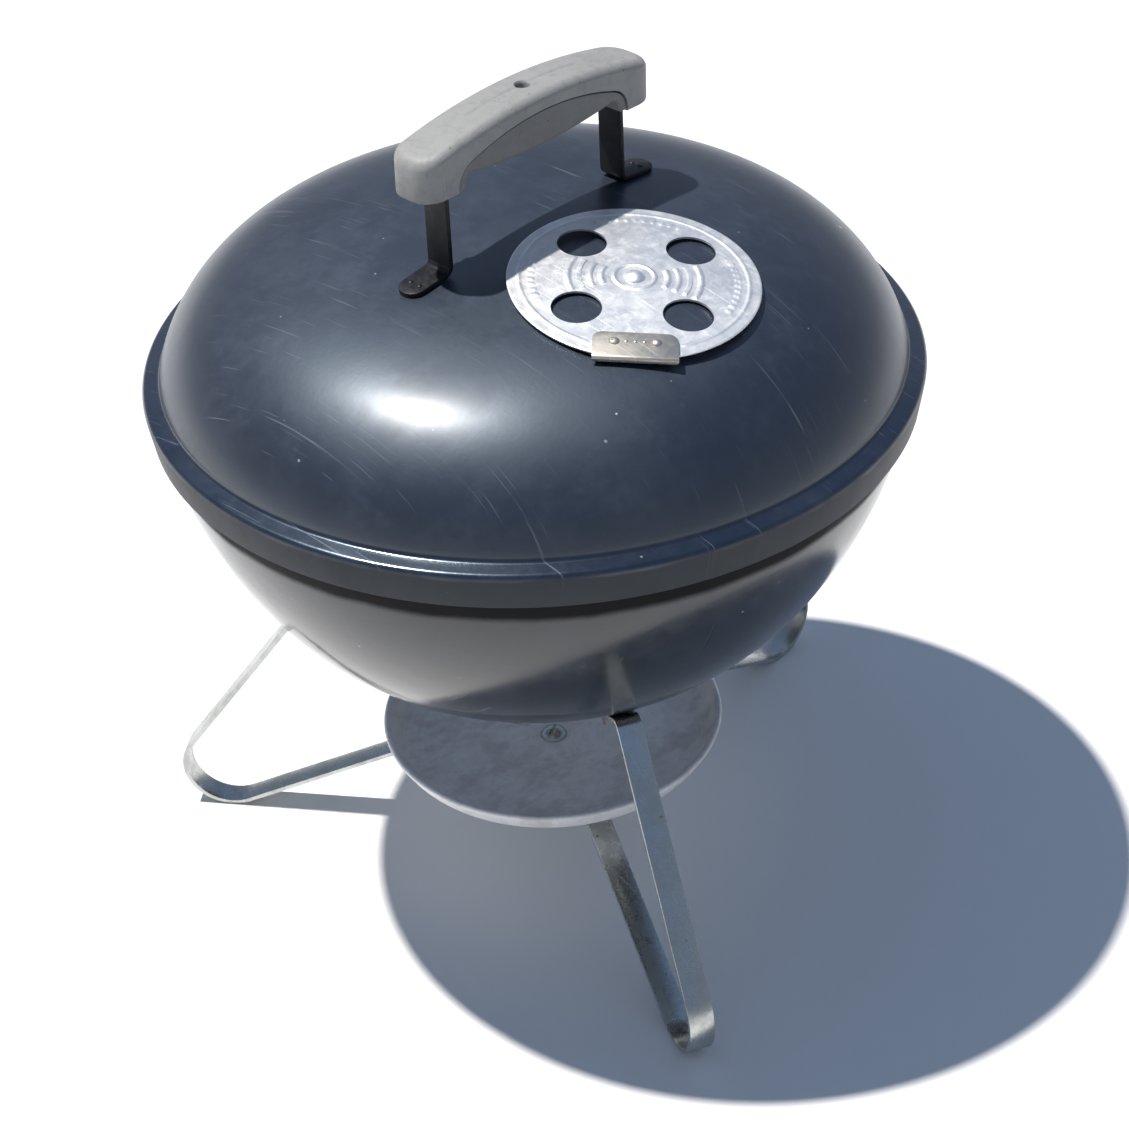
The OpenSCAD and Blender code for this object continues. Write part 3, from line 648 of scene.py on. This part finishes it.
def buildBowl():
    s = bowlShape
    wide, t = s["radius"], s["sheet"]
    beadAt = Vector((wide - 0.6, s["top"] + 10))
    sweep = [radians(a) for a in ringSteps(0, 90, s["along"])]
    outer = [(wide * sin(a), bowlHeight(wide * sin(a))) for a in sweep]
    inner = [((wide - t) * sin(a), bowlHeight((wide - t) * sin(a), t)) for a in sweep]
    beadTurns = [radians(a) for a in ringSteps(-73.4, 253.4, 26)]
    bead = [(beadAt.x + s["bead"] * cos(a), beadAt.y + s["bead"] * sin(a)) for a in beadTurns]
    bm = bmesh.new()
    spun(bm, outer + [(wide, s["top"] + 4)] + bead + [(wide - t, s["top"] + 4)] + inner[::-1], steps=s["around"])
    middle = Matrix.Translation((0, 0, s["top"] - s["depth"]))
    bm = cutWith(bm, [drill(s["ventRadius"], at, 16) for at in quarters(middle, s["ventReach"], 45)])
    rubFaces(bm, [f for f in bm.faces if f.calc_center_median().z > s["top"] + 8.6])
    makePiece(bm, "bowlEnamelShell", "bowl", mats["bowlEnamel"], ["bowl_shell"], 38)


buildBowl()
print("bowl ready")

# handle

handleShape = {"shift": -1.5, "lean": 1.2, "leanFrom": -35, "strapWidth": 14, "strapThick": 2.5, "upright": 57,
               "bend": 4, "tip": 81, "tilt": 6.8, "bar": 411, "half": 74.2, "width": 27, "top": 428.8, "low": 399.5,
               "arch": 290, "corner": 11, "edge": 4.4, "seam": 420.7, "seamArch": 140, "seamHalf": 55,
               "seamCorner": 12, "crease": 0.55, "creaseHalf": 38}


def buildStrap():
    s = handleShape
    t, tilt = s["strapThick"], radians(s["tilt"])
    footZ = lidHeight(68) + t / 2 + 0.15
    tipZ = footZ - (s["tip"] - 68) * tan(tilt)
    turnAt = s["upright"] + s["bend"] - s["bend"] * sin(tilt)
    foot = (s["tip"] - turnAt) / cos(tilt)
    bendZ = footZ - (s["upright"] + s["bend"] - 68) * tan(tilt) + s["bend"] / cos(tilt)
    rise = s["bar"] - s["bend"] - bendZ
    strip = Strip((s["tip"], tipZ), 180 - s["tilt"], s["strapWidth"], t)
    strip.go(foot).turn(-90 + s["tilt"], s["bend"], 10).go(rise).turn(90, s["bend"], 8).go(2 * (s["upright"] - s["bend"]))
    strip.turn(90, s["bend"], 8).go(rise).turn(-90 + s["tilt"], s["bend"], 10).go(foot)
    bm = strip.close()
    roundEnd(bm, 6.7, lambda e: abs(e.verts[0].co.x) > s["tip"] - 1.5 and abs(e.verts[1].co.x) > s["tip"] - 1.5)
    rubFaces(bm, sharpBevel(bm, 0.4, 2, 50))
    for side in (-1, 1):  # spot welds that hold each foot
        for aside in (-2.8, 2.8):
            place = Matrix.Translation((73.5 * side, aside, footZ - 5.5 * tan(tilt) + t / 2 - 0.2))
            place = place @ Matrix.Rotation(side * tilt, 4, "Y")
            spun(bm, [(0, 0.75), (0.8, 0.66), (1.3, 0.35), (1.5, 0)], steps=20, matrix=place)
    bmesh.ops.translate(bm, vec=(0, s["shift"], 0), verts=bm.verts)
    makePiece(bm, "handleStrapBar", "lid", mats["strap"], ["handle_strap"], 40)


def leanGrip(bm):
    s = handleShape
    lean = Matrix.Rotation(radians(s["lean"]), 3, "Y")
    bmesh.ops.rotate(bm, cent=(s["leanFrom"], 0, s["bar"]), matrix=lean, verts=bm.verts)
    bmesh.ops.translate(bm, vec=(0, s["shift"], 0), verts=bm.verts)


def arcEdges(bm, centre, start, sweep, steps):
    v = bm.verts.new((start[0], 0, start[1]))
    count = len(bm.verts)
    bmesh.ops.spin(bm, geom=[v], cent=(centre[0], 0, centre[1]), axis=(0, -1, 0), angle=radians(sweep), steps=steps,
                   use_merge=False)
    bm.verts.ensure_lookup_table()
    return [v] + [bm.verts[i] for i in range(count, len(bm.verts))]


def archLine(bm, half, top, big, corner):
    # left corner, long arch, right corner, in order and tangent to one another
    lean = asin((half - corner) / (big - corner))
    middle = top - big
    cornerZ = middle + (big - corner) * cos(lean)
    left = arcEdges(bm, (-half + corner, cornerZ), (-half, cornerZ), degrees(lean) - 90, 10)
    arch = arcEdges(bm, (0, middle), (-big * sin(lean), middle + big * cos(lean)), -2 * degrees(lean), 40)
    ends = (half - corner + corner * sin(lean), cornerZ + corner * cos(lean))
    right = arcEdges(bm, (half - corner, cornerZ), ends, degrees(lean) - 90, 10)
    return left + arch[1:] + right[1:]


def prismFrom(bm, loop, width):
    # a face across the middle of the loop, then given its width along Y
    face = bm.faces.new(loop)
    bmesh.ops.delete(bm, geom=[v for v in bm.verts if not v.link_faces], context="VERTS")
    for e in [e for e in bm.edges if not e.link_faces]:
        bm.edges.remove(e)
    ext = bmesh.ops.extrude_face_region(bm, geom=[face])["geom"]
    bmesh.ops.translate(bm, vec=(0, width, 0), verts=picked(ext))
    bmesh.ops.translate(bm, vec=(0, -width / 2, 0), verts=bm.verts)
    bmesh.ops.recalc_face_normals(bm, faces=bm.faces)


def planOutline(half, wide, corner, along, bends, ends):
    # points and inward directions round a rounded oblong, clockwise from the upper left
    line = []
    x, y = half - corner, wide / 2 - corner
    for k in range(along + 1):
        line.append((-x + 2 * x * k / along, wide / 2, 0, -1))
    for start, cx, cy in ((90, x, y), (0, x, -y)):
        if start == 0:
            line += [(half, y - 2 * y * k / ends, -1, 0) for k in range(ends + 1)]
        for k in range(1, bends):
            a = radians(start - 90 * k / bends)
            line.append((cx + corner * cos(a), cy + corner * sin(a), -cos(a), -sin(a)))
    return line + [(-px, -py, -nx, -ny) for px, py, nx, ny in line]


def buildGripTop():
    s = handleShape
    low, top, big, edge = s["low"], s["top"], s["arch"], s["edge"]
    along, ends = 64, 12
    line = planOutline(s["half"], s["width"], s["corner"], along, 10, ends)

    def crown(x, y):
        fade = max(0.0, min(1.0, (s["creaseHalf"] - abs(x)) / 5))
        return top - big + sqrt(big * big - x * x) - s["crease"] * fade * fade * (3 - 2 * fade) * 2.718 ** (-(y / 1.15) ** 2)

    rings = [(1.0, low), (0.55, low + 0.1), (0.2, low + 0.4), (0.0, low + 1.0)]
    bm = bmesh.new()
    spot = bm.verts.layers.int.new("spot")
    verts = []
    for k, (px, py, nx, ny) in enumerate(line):
        v = bm.verts.new((px + nx * rings[0][0], py + ny * rings[0][0], rings[0][1]))
        v[spot] = k
        verts.append(v)
    head = [bm.edges.new(pair) for pair in zip(verts, verts[1:] + verts[:1])]
    bmesh.ops.edgeloop_fill(bm, edges=head)

    def nextRing(head, inset, height):
        geom = bmesh.ops.extrude_edge_only(bm, edges=head)["geom"]
        for v in picked(geom):
            px, py, nx, ny = line[v[spot]]
            x, y = px + nx * inset, py + ny * inset
            v.co = (x, y, height(x, y))
        return picked(geom, bmesh.types.BMEdge)

    for inset, z in rings[1:]:
        head = nextRing(head, inset, lambda x, y, z=z: z)
    for k in range(9):
        a = radians(10 * k * 1.125)
        head = nextRing(head, edge * (1 - cos(a)), lambda x, y, a=a: crown(x, y) - edge * (1 - sin(a)))
    for inset in (5.5, 7.5, 9.3, s["corner"]):
        head = nextRing(head, inset, crown)
    inner = s["width"] / 2 - s["corner"]
    chain = [e for e in head if all(v.co.y > inner - 1e-4 for v in e.verts) and e.calc_length() > 1e-3]
    for k in range(1, ends + 1):
        geom = bmesh.ops.extrude_edge_only(bm, edges=chain)["geom"]
        for v in picked(geom):
            y = inner - 2 * inner * k / ends
            v.co = (v.co.x, y, crown(v.co.x, y))
        chain = picked(geom, bmesh.types.BMEdge)
    bmesh.ops.remove_doubles(bm, verts=bm.verts, dist=1e-3)
    bmesh.ops.recalc_face_normals(bm, faces=bm.faces)
    middles = [(f, f.calc_center_median()) for f in bm.faces]
    rubFaces(bm, [f for f, c in middles if crown(c.x, 9) - edge * 0.8 < c.z < crown(c.x, 9) - 0.2 or c.z < low + 1])
    seam = bmesh.new()
    loop = archLine(seam, s["seamHalf"], s["seam"], s["seamArch"], s["seamCorner"])
    foot = [seam.verts.new((side * s["seamHalf"], 0, low - 6)) for side in (-1, 1)]
    prismFrom(seam, [foot[0]] + loop + [foot[1]], 60)
    hole = bmesh.new()
    screwSeat = ((0, -6), (3.3, -6), (3.3, -1.3), (3.5, -0.7), (4.1, 0.1), (4.6, 3), (0, 3))
    spun(hole, [(r, top + z) for r, z in screwSeat], steps=48)
    bm = cutWith(bm, [seam, hole])
    leanGrip(bm)
    makePiece(bm, "gripUpperShell", "lid", mats["gripTop"], ["handle_top"], 34)


def buildGripUnder():
    s = handleShape
    bm = bmesh.new()
    gap, low = 0.8, s["low"] + 1
    half = s["seamHalf"] - gap
    over = archLine(bm, half, s["seam"] - gap, s["seamArch"] - gap, s["seamCorner"] - gap)
    new = lambda x, z: bm.verts.new((x, 0, z))
    right = arcEdges(bm, (45, low + 2), (49, low + 2), 90, 8)
    belly = arcEdges(bm, (0, low + 293.5), (291 * sin(radians(8.4)), low + 293.5 - 291 * cos(radians(8.4))), -16.8, 30)
    left = arcEdges(bm, (-45, low + 2), (-45, low + 6), 90, 8)
    loop = [new(-half, low)] + over + [new(half, low), new(49, low)] + right + belly + left + [new(-49, low)]
    prismFrom(bm, loop, s["width"] - 1.2)
    below = lambda v: abs(v.co.x) < 49.01 and v.co.z < low + 6.8 and abs(v.co.y) > s["width"] / 2 - 0.7
    rubFaces(bm, sharpBevel(bm, 3.2, 6, 40, lambda e: all(below(v) for v in e.verts)))
    sharpBevel(bm, 0.7, 3, 45)
    leanGrip(bm)
    makePiece(bm, "gripLowerShell", "lid", mats["gripUnderPaintedShade"], ["handle_bottom"], 34)


buildStrap()
buildGripTop()
buildGripUnder()
print("handle ready")

# lid damper

damperShape = {"radius": 57.4, "sag": 2.5, "thick": 1.0, "seat": 1.2, "holeRadius": 11.4, "holeReach": 35,
               "rivetHole": 3.0, "arcs": (15, 20, 25, 30), "arcHalf": 24, "arcAt": (-45, 135), "ring": 9.1,
               "rimRing": 51.9, "tickRing": 46.6, "around": 360}


def dish(r):
    return -damperShape["sag"] * (r / damperShape["radius"]) ** 2


def bumpAcross(d, half, soft):
    x = max(0.0, min(1.0, (half + soft - abs(d)) / soft))
    return x * x * (3 - 2 * x)


def stamp(r, a):
    # how far the face is raised: a ring, arcs to both sides, a rim line and short ticks
    s = damperShape
    h = 0.5 * bumpAcross(r - s["ring"], 0.5, 0.6)
    for at in s["arcAt"]:
        d = (a - at + 180) % 360 - 180
        for ring in s["arcs"]:
            along = bumpAcross(radians(d) * r, radians(s["arcHalf"]) * r, 0.9)
            h = max(h, 0.6 * bumpAcross(r - ring, 0.75, 0.6) * along)
    fromTab = abs((a - tabShape["at"] + 180) % 360 - 180)
    h = max(h, 0.3 * bumpAcross(r - s["rimRing"], 0.45, 0.6) * bumpAcross(radians(180 - fromTab) * r, radians(155) * r, 2))
    if a % 5 < 2.2 and abs((a + 180) % 90 - 45) < 26 and fromTab > 40:
        h = max(h, 0.28 * bumpAcross(r - s["tickRing"], 1.2, 0.5))
    return h


def buildDisc():
    s = damperShape
    bm = bmesh.new()
    rs = ringSteps(s["rivetHole"], s["radius"] - 0.5, 104)
    top = [(r, dish(r) + s["thick"]) for r in rs]
    edge = [(s["radius"] - 0.12, dish(s["radius"]) + s["thick"] - 0.14), (s["radius"], dish(s["radius"]) + s["thick"] * 0.5),
            (s["radius"] - 0.12, dish(s["radius"]) + 0.14)]
    under = [(r, dish(r)) for r in ringSteps(s["radius"] - 0.5, s["rivetHole"], 12)]
    spun(bm, top + edge + under, closed=True, steps=s["around"])
    for v in bm.verts:
        r = v.co.xy.length
        if v.co.z > dish(r) + s["thick"] * 0.9:
            v.co.z += stamp(r, degrees(atan2(v.co.y, v.co.x)))
    bm = cutWith(bm, [drill(s["holeRadius"], at, 12, 72) for at in quarters(Matrix(), s["holeReach"])])
    bmesh.ops.transform(bm, matrix=ventAt @ Matrix.Translation((0, 0, s["seat"])), verts=bm.verts)
    makePiece(bm, "damperDiscPlate", "lid_damper", mats["disc"], ["lid_damper_disc"], 40)


def buildRivet():
    bm = bmesh.new()
    z = damperShape["seat"] + 1.05
    head = [(0, 2.05), (1.2, 1.98), (2.6, 1.65), (3.9, 1.0), (4.9, 0.15), (5.0, -0.03), (2.9, -0.03)]
    tail = [(2.9, -3.3), (4.9, -3.3), (4.9, -3.6), (3, -4.3), (0, -4.5)]
    spun(bm, [(r, z + up) for r, up in head] + tail, steps=64, matrix=ventAt)
    makePiece(bm, "damperRivetHead", "lid", mats["disc"], ["lid_damper_rivet"], 40)


tabShape = {"at": -132.5, "from": 41.5, "centre": 50.5, "to": 59.1, "width": 38, "thick": 1.1, "tilt": 4.2, "corner": 5,
            "rivets": 9.3, "rivetsAt": -2.8}


def buildTab():
    s = tabShape
    centre, t = s["centre"], s["thick"]
    toTab = ventAt @ Matrix.Translation((0, 0, damperShape["seat"])) @ Matrix.Rotation(radians(s["at"]), 4, "Z")
    toTab = toTab @ Matrix.Translation((centre, 0, 1.04 + dish(centre))) @ Matrix.Rotation(radians(s["tilt"]), 4, "Y")
    strip = Strip((s["from"] - centre, t / 2), 0, s["width"], t)
    strip.go(s["to"] - s["from"] - 2.1).turn(-90, 1.0, 8).go(1.35)
    bm = strip.close()
    roundEnd(bm, s["corner"], lambda e: all(v.co.x < s["from"] - centre + 0.2 for v in e.verts), 8)
    roundEnd(bm, 1.2, lambda e: all(v.co.z < -0.5 for v in e.verts), 3)
    rubFaces(bm, sharpBevel(bm, 0.22, 2, 50))
    for y in (-4, 0, 4):  # three pips between the rivets
        spun(bm, [(0, 0.42), (0.45, 0.36), (0.8, 0.16), (0.95, 0)], steps=16, matrix=Matrix.Translation((-3, y, t - 0.02)))
    bmesh.ops.transform(bm, matrix=toTab, verts=bm.verts)
    makePiece(bm, "damperTabPlate", "lid_damper", mats["tab"], ["lid_damper_tab"], 40)
    bm = bmesh.new()
    head = [(0, 1.25), (0.9, 1.16), (1.7, 0.86), (2.3, 0.35), (2.5, 0), (1.5, 0)]
    tail = [(1.5, -1.2), (2.3, -1.2), (2.2, -1.7), (0, -1.75)]
    for side in (-1, 1):
        spun(bm, [(r, t + up) for r, up in head] + tail, steps=32,
             matrix=Matrix.Translation((s["rivetsAt"], side * s["rivets"], 0)))
    bmesh.ops.transform(bm, matrix=toTab, verts=bm.verts)
    makePiece(bm, "damperTabRivets", "lid_damper", mats["tab"], ["lid_damper_tab_rivets"], 40)


buildDisc()
buildRivet()
buildTab()
print("lid damper ready")

# legs

legShape = {"ways": (2, 125, 243.5), "width": 12.7, "thick": 2.5, "footAt": (184, 176.1, 178.6), "footRadius": 23.2,
            "touch": 92, "corner": 24, "panBend": 6, "topBend": 5, "pitch": 2.55, "start": -9, "end": 20}
panLow, panHigh = boxMm("ash_pan")


def buildLeg(index, node):
    s = legShape
    t = s["thick"]
    zLine = panLow.z - 0.05 - t / 2 - index * s["pitch"]
    slope = atan2(bowlHeight(s["touch"] + 1) - bowlHeight(s["touch"] - 1), 2)
    foot = Vector((s["footAt"][index], s["footRadius"] + t / 2 - 0.15))
    bendAt = Vector((62, zLine - s["panBend"]))
    toFoot = foot - bendAt
    down = atan2(toFoot.y, toFoot.x) + acos((s["panBend"] + s["footRadius"]) / toFoot.length)
    out = Vector((cos(slope - pi / 2), sin(slope - pi / 2)))
    along = Vector((cos(slope), sin(slope)))
    touch = Vector((s["touch"], bowlHeight(s["touch"]))) + out * (t / 2 + 0.05)
    topAt = touch + along * (s["corner"] - 5) + out * s["topBend"]
    toTop = topAt - foot
    up = atan2(toTop.y, toTop.x) - acos((s["footRadius"] - s["topBend"]) / toTop.length)
    strip = Strip((s["start"], zLine), 0, s["width"], t)
    strip.go(bendAt.x - s["start"]).turn(degrees(down) - 90, s["panBend"], 6)
    strip.go(sqrt(toFoot.length ** 2 - (s["panBend"] + s["footRadius"]) ** 2))
    strip.turn(degrees(up - down) + 180, s["footRadius"], 48)
    strip.go(sqrt(toTop.length ** 2 - (s["footRadius"] - s["topBend"]) ** 2))
    strip.turn(degrees(slope - up) + 90, s["topBend"], 14)
    strip.go(s["corner"] - 5 + s["end"])
    bm = strip.close()
    roundEnd(bm, 3.0, lambda e: all((v.co - Vector((strip.pos.x, v.co.y, strip.pos.z))).length < 2 for v in e.verts), 6)
    rubFaces(bm, sharpBevel(bm, 0.45, 2, 50))
    for v in bm.verts:
        v.co.z = max(v.co.z, 0.0)
    bmesh.ops.rotate(bm, cent=(0, 0, 0), matrix=Matrix.Rotation(radians(s["ways"][index]), 3, "Z"), verts=bm.verts)
    makePiece(bm, node.replace("leg_", "legStrap-"), "bowl", mats["plate"], [node], 40)


for index, node in enumerate(("leg_right", "leg_back", "leg_front")):
    buildLeg(index, node)
print("legs ready")

# ash pan

panShape = {"flat": 64, "roll": 1.7, "sheet": 1.0, "around": 200}


def buildPan():
    s = panShape
    edge, top, floor = panHigh.x, panHigh.z, panLow.z
    roll = Vector((edge - s["roll"], top - s["roll"]))

    def wall(t, w):
        reach, rise = edge - 1.6 - s["flat"] - w, top - 1.6 - floor - w
        return (s["flat"] + w + reach * (1 - (1 - t) ** 1.7), floor + w + rise * t ** 1.9)

    outer = [(r, floor) for r in ringSteps(0, 60, 12)] + [wall(t, 0) for t in ringSteps(0, 0.93, 20)]
    lip = [(roll.x + s["roll"] * cos(radians(a)), roll.y + s["roll"] * sin(radians(a))) for a in ringSteps(-70, 205, 20)]
    inner = [(wall(t, s["sheet"])[0] - 0.6 * t, wall(t, s["sheet"])[1]) for t in ringSteps(0.93, 0, 20)]
    inner += [(r, floor + s["sheet"]) for r in ringSteps(60, 0, 12)]
    bm = bmesh.new()
    spun(bm, outer + lip + inner, steps=s["around"])
    rubFaces(bm, [f for f in bm.faces if f.calc_center_median().z > top - 2])
    makePiece(bm, "ashPanDish", "bowl", mats["pan"], ["ash_pan"], 38)


def buildPanBolt():
    z = panLow.z + panShape["sheet"] + 0.05
    bm = bmesh.new()
    side = ((0, 3.8), (2.2, 3.6), (4.4, 2.9), (6.1, 1.7), (6.9, 0.5), (7.0, 0), (3, 0), (3, -17.6), (2.6, -18), (0, -18))
    spun(bm, [(r, z + up) for r, up in side], steps=56)
    slot = bmesh.new()
    slotAt = Matrix.Rotation(radians(20), 4, "Z") @ Matrix.Translation((0, 0, z + 4.2))
    bmesh.ops.create_cube(slot, size=1, matrix=slotAt @ Matrix.Diagonal((16, 1.5, 4, 1)))
    bm = cutWith(bm, [slot])
    makePiece(bm, "panBoltSlotted", "bowl", mats["plate"], ["ash_pan_bolt"], 40)


buildPan()
buildPanBolt()
print("ash pan ready")

# grates

grateShapes = {"cooking_grate": {"wire": 2.2, "bar": 1.7, "pitch": 15.5, "half": 10, "ties": (-75, 75), "turn": 25,
                                 "slot": "grate_steel"},
               "charcoal_grate": {"wire": 2.5, "bar": 2.2, "pitch": 20.5, "half": 6, "ties": (-58, 58), "turn": -20,
                                  "slot": "coal_steel"}}


def addRod(bm, x, y, half, z, radius, along):
    place = Matrix.Translation((x, y, z)) @ Matrix.Rotation(pi / 2, 4, "Y" if along == "X" else "X")
    bmesh.ops.create_cone(bm, cap_ends=True, segments=14, radius1=radius, radius2=radius, depth=2 * half, matrix=place)


def buildGrate(node, material):
    s = grateShapes[node]
    low, high = boxMm(node + "_ring")
    ring = high.x - s["wire"]
    bm = bmesh.new()
    wire = [(ring + s["wire"] * cos(a), s["wire"] * sin(a)) for a in ringSteps(0, 2 * pi, 14)[:-1]]
    spun(bm, wire, closed=True, steps=160)
    for k in range(-s["half"], s["half"] + 1):
        y = k * s["pitch"]
        addRod(bm, 0, y, sqrt(ring ** 2 - y ** 2), s["wire"] + s["bar"] + 0.05, s["bar"], "X")
    for x in s["ties"]:
        addRod(bm, x, 0, sqrt(ring ** 2 - x ** 2), 0, s["wire"], "Y")
    place = Matrix.Translation((0, 0, low.z + s["wire"])) @ Matrix.Rotation(radians(s["turn"]), 4, "Z")
    bmesh.ops.transform(bm, matrix=place, verts=bm.verts)
    replaced = [node + "_ring", node + "_bars"]
    makePiece(bm, node.split("_")[0] + "GrateWires", node, material, replaced, 40)


buildGrate("cooking_grate", mats["grate"])
buildGrate("charcoal_grate", mats["coal"])
print("grates ready")

# small CAD parts that stay

stay = {"handle_screw": "plateDark", "lid_damper_washer": "plate", "grate_brackets": "plateDark",
        "bowl_damper_washer": "plate", "bowl_damper_rivet": "plate", "bowl_damper_disc": "bowlDisc",
        "bowl_damper_tab": "bowlDisc", "bowl_damper_tab_rivet": "plate", "leg_bolts": "plate", "leg_nuts": "plateDark",
        "ash_pan_washer": "plate", "ash_pan_nut": "plateDark"}
for node, look in stay.items():
    data = frame["nodes"][node].data
    data.materials.clear()
    data.materials.append(mats[look])

# floor, light and camera

stageShape = {"floor": (0.88, 0.865, 0.835), "sky": (0.165, 0.235, 0.37), "horizon": (0.255, 0.275, 0.315),
              "keyPower": 540, "keySize": 0.15, "keyColour": (1.0, 0.975, 0.94), "keyAway": 6.0, "keyTurn": 122.7,
              "keyRise": 70}


def buildStage():
    s = stageShape
    bm = bmesh.new()
    bmesh.ops.create_grid(bm, x_segments=1, y_segments=1, size=12)
    floor = addMesh("floor", bm)
    m, t, bsdf, obj = startMaterial("paleFloor", s["floor"], 0.0, 0.7)
    link(t, mixColour(t, s["floor"], (0.78, 0.78, 0.78), noiseNode(t, obj, 9.0, 6.0, 0.6), 0.35), bsdf.inputs["Base Color"])
    floor.data.materials.append(m)
    key = bpy.data.lights.new("key", "AREA")
    key.shape = "DISK"
    key.size = s["keySize"]
    key.energy = s["keyPower"]
    key.color = s["keyColour"]
    ob = addObject("key", key)
    turnTo, rise = radians(s["keyTurn"]), radians(s["keyRise"])
    away = Vector((cos(turnTo) * cos(rise), sin(turnTo) * cos(rise), sin(rise)))
    place = Matrix.Translation(away * s["keyAway"] + Vector((0, 0, 0.2)))
    ob.matrix_world = place @ away.to_track_quat("Z", "Y").to_matrix().to_4x4()
    world = bpy.data.worlds.new("studio")
    world.use_nodes = True
    scene.world = world
    t = world.node_tree
    back = t.nodes["Background"]
    coord = t.nodes.new("ShaderNodeTexCoord")
    sep = t.nodes.new("ShaderNodeSeparateXYZ")
    link(t, coord.outputs["Generated"], sep.inputs[0])
    link(t, mixColour(t, s["horizon"], s["sky"], rangeNode(t, sep.outputs[2], 0.0, 0.7)), back.inputs["Color"])
    back.inputs["Strength"].default_value = 1.0


cameraShape = {"turn": -45, "rise": 35.19, "roll": -2.77, "away": 1.4967, "lens": 95.67, "aside": 0.00978,
               "aimHeight": 0.1634}


def buildCamera():
    s = cameraShape
    turn, rise, roll = radians(s["turn"]), radians(s["rise"]), radians(s["roll"])
    right = Vector((cos(turn), sin(turn), 0))
    back = Vector((sin(turn) * cos(rise), -cos(turn) * cos(rise), sin(rise)))
    up = back.cross(right)
    target = right * s["aside"] + Vector((0, 0, s["aimHeight"]))
    x = right * cos(roll) + up * sin(roll)
    y = up * cos(roll) - right * sin(roll)
    cam = bpy.data.cameras.new("camera")
    cam.sensor_width = 36
    cam.lens = s["lens"]
    cam.clip_end = 50
    ob = addObject("camera", cam)
    m = Matrix((x, y, back)).transposed().to_4x4()
    m.translation = target + back * s["away"]
    ob.matrix_world = m
    scene.camera = ob


buildStage()
buildCamera()
scene.view_settings.view_transform = "Standard"
print("stage ready")
